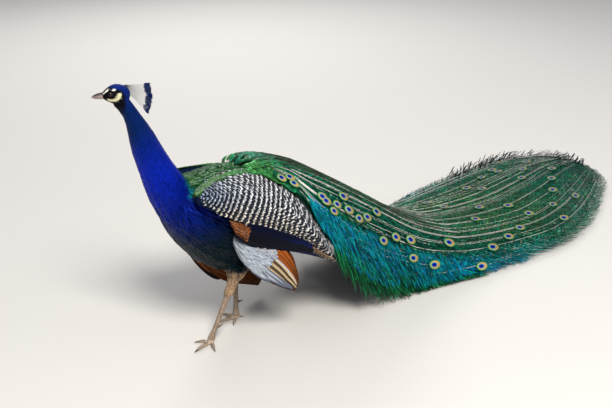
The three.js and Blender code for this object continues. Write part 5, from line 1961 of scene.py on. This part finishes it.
# %% Hooked tips
count = 260
where = rng.random(count)
share = np.where(where < 0.7, rng.uniform(0.72, 0.97, count), rng.uniform(0.93, 0.985, count))
across = np.where(where < 0.7, rng.uniform(0.80, 0.95, count), rng.uniform(-0.4, 0.9, count))
roots, facing = on_train(share, across, np.full(count, 2.0))
length = rng.uniform(0.024, 0.054, count)
side_step = rng.uniform(-0.2, 0.6, count) * length * np.sign(across)
lift = rng.uniform(6, 30, count)
middles, *_ = train_shift(share, across, length * 0.45, side_step * 0.3, lift)
tips, *_ = train_shift(share, across, length, side_step, lift * rng.uniform(0.3, 1.0, count))
made = plant("hooked_tips", HERL_BLADE, HERL_FINISH, roots, middles, tips, facing, 0.0034, 0.0010,
             RIM_BLACK * 1.5, paint(0, 92, 84), train_patch(share, across))
finish_piece(made, "train_plumage")

# %% [markdown]
# ## Crest
# A peacock's crest is a fan of some two dozen bare shafts, each tipped with a small blue plume. Seen from
# the side the plumes overlap into one upright band. The fan stands in the bird's middle plane, as wide
# as the fan solid that it replaces.

# %% Crest
CREST_COUNT = 25
k = np.linspace(0, 1, CREST_COUNT)
crest_root = np.array([-236.0, 0.0, 701.0])
crest_tips = through([(-170, 0, 696), (-167, 0, 662), (-178, 0, 630)], k)
crest_roots = crest_root + np.outer(0.5 - k, (5, 0, 7)) + (1, 0, 0)
sideways = rng.normal(0, 1.1, CREST_COUNT)
sideways[0] = sideways[-1] = 0
out = unit(crest_tips - crest_roots)
plume = rng.uniform(17, 21, CREST_COUNT)
bow = np.cross(out, (0, 1, 0)) * (2.5 * (k - 0.4))[:, None]
t_crest = np.linspace(0, 1, 9)[None, :, None]
reach = (np.linalg.norm(crest_tips - crest_roots, axis=1) - plume * 0.5)[:, None, None]
crest_lines = crest_roots[:, None] + out[:, None] * reach * t_crest
crest_lines = crest_lines + bow[:, None] * (t_crest * (1 - t_crest) * 4)
crest_lines = crest_lines + (sideways[:, None, None] * t_crest**2) * (0, 1, 0)
crest_taper = np.broadcast_to(np.interp(t_crest[0, :, 0], [0, 1], [0.30, 0.16]) * MM, (CREST_COUNT, 9))
crest_shafts = rods("crest_shafts", crest_lines * MM, crest_taper, SHAFT_FINISH, 4, paint(66, 62, 66))
finish_piece(crest_shafts, "crest", "crest")
BARBS = 34
u = rng.uniform(-0.42, 0.46, (CREST_COUNT, BARBS))
side_of = np.where(np.arange(BARBS) % 2 == 0, 1.0, -1.0)
fan_out = np.cross(out, (0, 1, 0))[:, None] * side_of[:, None]
fan_out = fan_out + rng.normal(0, 0.35, (CREST_COUNT, BARBS, 1)) * (0, 1, 0)
spread = 0.55 * (1 - 0.4 * (u + 0.42))[..., None]
barb_way = unit(out[:, None] + fan_out * spread)
barb = rng.uniform(5.0, 7.5, (CREST_COUNT, BARBS)) * np.interp(u, [-0.42, 0.1, 0.46], [0.75, 1, 0.55])
barb = barb[..., None]
roots = crest_lines[:, -1][:, None] + out[:, None] * (u * plume[:, None])[..., None]
ends = roots + (barb_way + out[:, None] * 0.12) * barb
roots, middles, ends = (a.reshape(-1, 3) for a in (roots, roots + barb_way * barb * 0.5, ends))
plumes = plant("crest_plumes", HERL_BLADE, BLUE_FINISH, roots * MM, middles * MM, ends * MM,
               unit(np.tile((0.0, -1.0, 0.0), (len(roots), 1)) + rng.normal(0, 0.3, roots.shape)), 0.0013,
               0.0004,
               blend(paint(3, 26, 96), paint(2, 54, 92), rng.random(len(roots)) * 0.7))
finish_piece(plumes, "crest")

# %% [markdown]
# ## Tail
# The true tail is short, stiff and brown, and props the train up from below. It is a fan of flat feathers
# side by side, each a little under its neighbour.

# %% Tail
TAIL_ROOT, TAIL_TIP = np.array([290.6, 0, 334]), np.array([560, 0, 96])
count = 14
fan = np.linspace(-0.93, 0.93, count)


def half_width(share):
    return 26 + 92 * math.sin(share * 0.5 * math.pi)


def on_tail(share, across, lift):
    place = TAIL_ROOT + (TAIL_TIP - TAIL_ROOT) * share + np.outer(across * half_width(share), (0, 1, 0))
    place[:, 2] += -26 * (across * half_width(share) / 118) ** 2 + lift
    return place * MM


layer = 1.5 * (1 - np.abs(fan))
facing_up = np.tile(unit(np.array([0.66, 0, 0.75])), (count, 1)) + np.outer(fan * 0.3, (0, 1, 0))
patch, span = patch_grid(count, 7)
tail = plant("tail_quills", QUILL_BLADE, feather_finish("brown quills", 0.6, 0.0, 0.3, Barbs=60.0, Streak=0.3,
             Rim_From=0.8, Shaft=0.6, Variety=0.3), on_tail(0.01, fan, layer), on_tail(0.5, fan, layer),
             on_tail(0.98, fan, layer), unit(facing_up), 0.040, 0.002,
             paint(70, 50, 34), paint(40, 28, 20), patch, span)
finish_piece(tail, "brown_plumage", "tail_feathers")
pad_share, pad_across = np.meshgrid(np.linspace(0.0, 0.9, 8), np.linspace(-0.9, 0.9, 12), indexing="ij")
pad_upper = np.stack([on_tail(s, a, np.full(12, 0.5)) for s, a in zip(pad_share[:, 0], pad_across)])
pad_lower = np.stack([on_tail(s, a, np.full(12, -3.0)) for s, a in zip(pad_share[:, 0], pad_across)])
finish_piece(closed_sheet("tail_pad", pad_upper, pad_lower,
                          mottled("brown down", paint(50, 36, 26), 0.9, 500, 0.5)),
             "brown_plumage")

# %% [markdown]
# ## Scales of the legs
# The front of each shank carries two rows of broad scales, its sides and back small ones, and the toes a
# row of narrow scales each. They are short blades planted on the skin, nearly flat and just overlapping.

# %% Leg scales
TOE_TURNS = {"middle": (0, 50), "inner": (52, 33), "outer": (-54, 37), "hind": (168, 13)}
FOOT_TURN = {"left": 14, "right": -8}
scale_roots, scale_middles, scale_tips, scale_up, scale_width = [], [], [], [], []


def add_scales(outside, way, length, width, lift=0.12):
    """Scales on the skin nearest to these places, each pointing this way."""
    near, up = on_skin(outside)
    lie = flat_to(way, up)
    scale_roots.append(near - lie * length * 0.55)
    scale_middles.append(near + up * lift * MM)
    scale_tips.append(near + lie * length * 0.55 + up * lift * 0.8 * MM)
    scale_up.append(up)
    scale_width.append(np.full(len(near), width))


for side, line in LEG_LINES.items():
    heel, foot = line[1], line[2]
    down = unit(foot - heel)
    ahead = unit(np.array([-1.0, 0, 0]) - down * np.dot((-1.0, 0, 0), down))
    across = np.cross(down, ahead)
    rows = [(28, 0.0056, 0.0072, 0.0), (-28, 0.0056, 0.0072, 0.5), (72, 0.0042, 0.0044, 0.2),
            (-72, 0.0042, 0.0044, 0.7),
            (108, 0.0036, 0.0040, 0.0), (-108, 0.0036, 0.0040, 0.5), (145, 0.0036, 0.0042, 0.3),
            (-145, 0.0036, 0.0042, 0.8), (180, 0.0036, 0.0042, 0.1)]
    for angle, gap, width, shift in rows:
        length = np.linalg.norm(foot - heel) - 0.014
        reach = np.arange(0.002 + shift * gap, length, gap)
        turn = math.radians(angle)
        out = ahead * math.cos(turn) + across * math.sin(turn)
        outside = heel + np.outer(reach, down) + out * 0.013
        add_scales(outside, np.tile(down, (len(reach), 1)), gap * 1.25, width)
    mirror = 1 if side == "left" else -1
    for turn, length in TOE_TURNS.values():
        heading = math.radians(FOOT_TURN[side] - turn * mirror)
        way = np.array([-math.cos(heading), -math.sin(heading), 0])
        across = np.array([-way[1], way[0], 0])
        reach = np.arange(0.008, length * MM, 0.0034)
        for lean, width in ((0, 0.0072), (1, 0.004), (-1, 0.004)):
            outside = np.array([foot[0], foot[1], 0]) + np.outer(reach, way)
            outside = outside + np.array([0, 0, 0.014]) + across * lean * 0.011
            add_scales(outside, np.tile(way, (len(reach), 1)), 0.0042, width)
all_scales = [np.concatenate(a) for a in (scale_roots, scale_middles, scale_tips, scale_up, scale_width)]
count = len(all_scales[0])
SCALE_FINISH = feather_finish("leg scales", 0.5, 0.0, 0.1, Barbs=2.0, Streak=0.12, Rim_From=0.62,
                              Rim_Share=0.8,
                              Variety=0.35)
made = plant("leg_scales", SCALE_BLADE, SCALE_FINISH, *all_scales[:4], all_scales[4], 0.0003,
             blend(LEG_GREY * 1.1, paint(150, 126, 104), rng.random(count) * 0.5),
             LEG_GREY * 0.45)
finish_piece(made, "leg_scales")

# %% [markdown]
# ## Closing
# The triangles of all the shown pieces are counted at the end.

# %% Sizes and finish
total = sum(triangle_count(o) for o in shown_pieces())
print("triangles in all:", total)
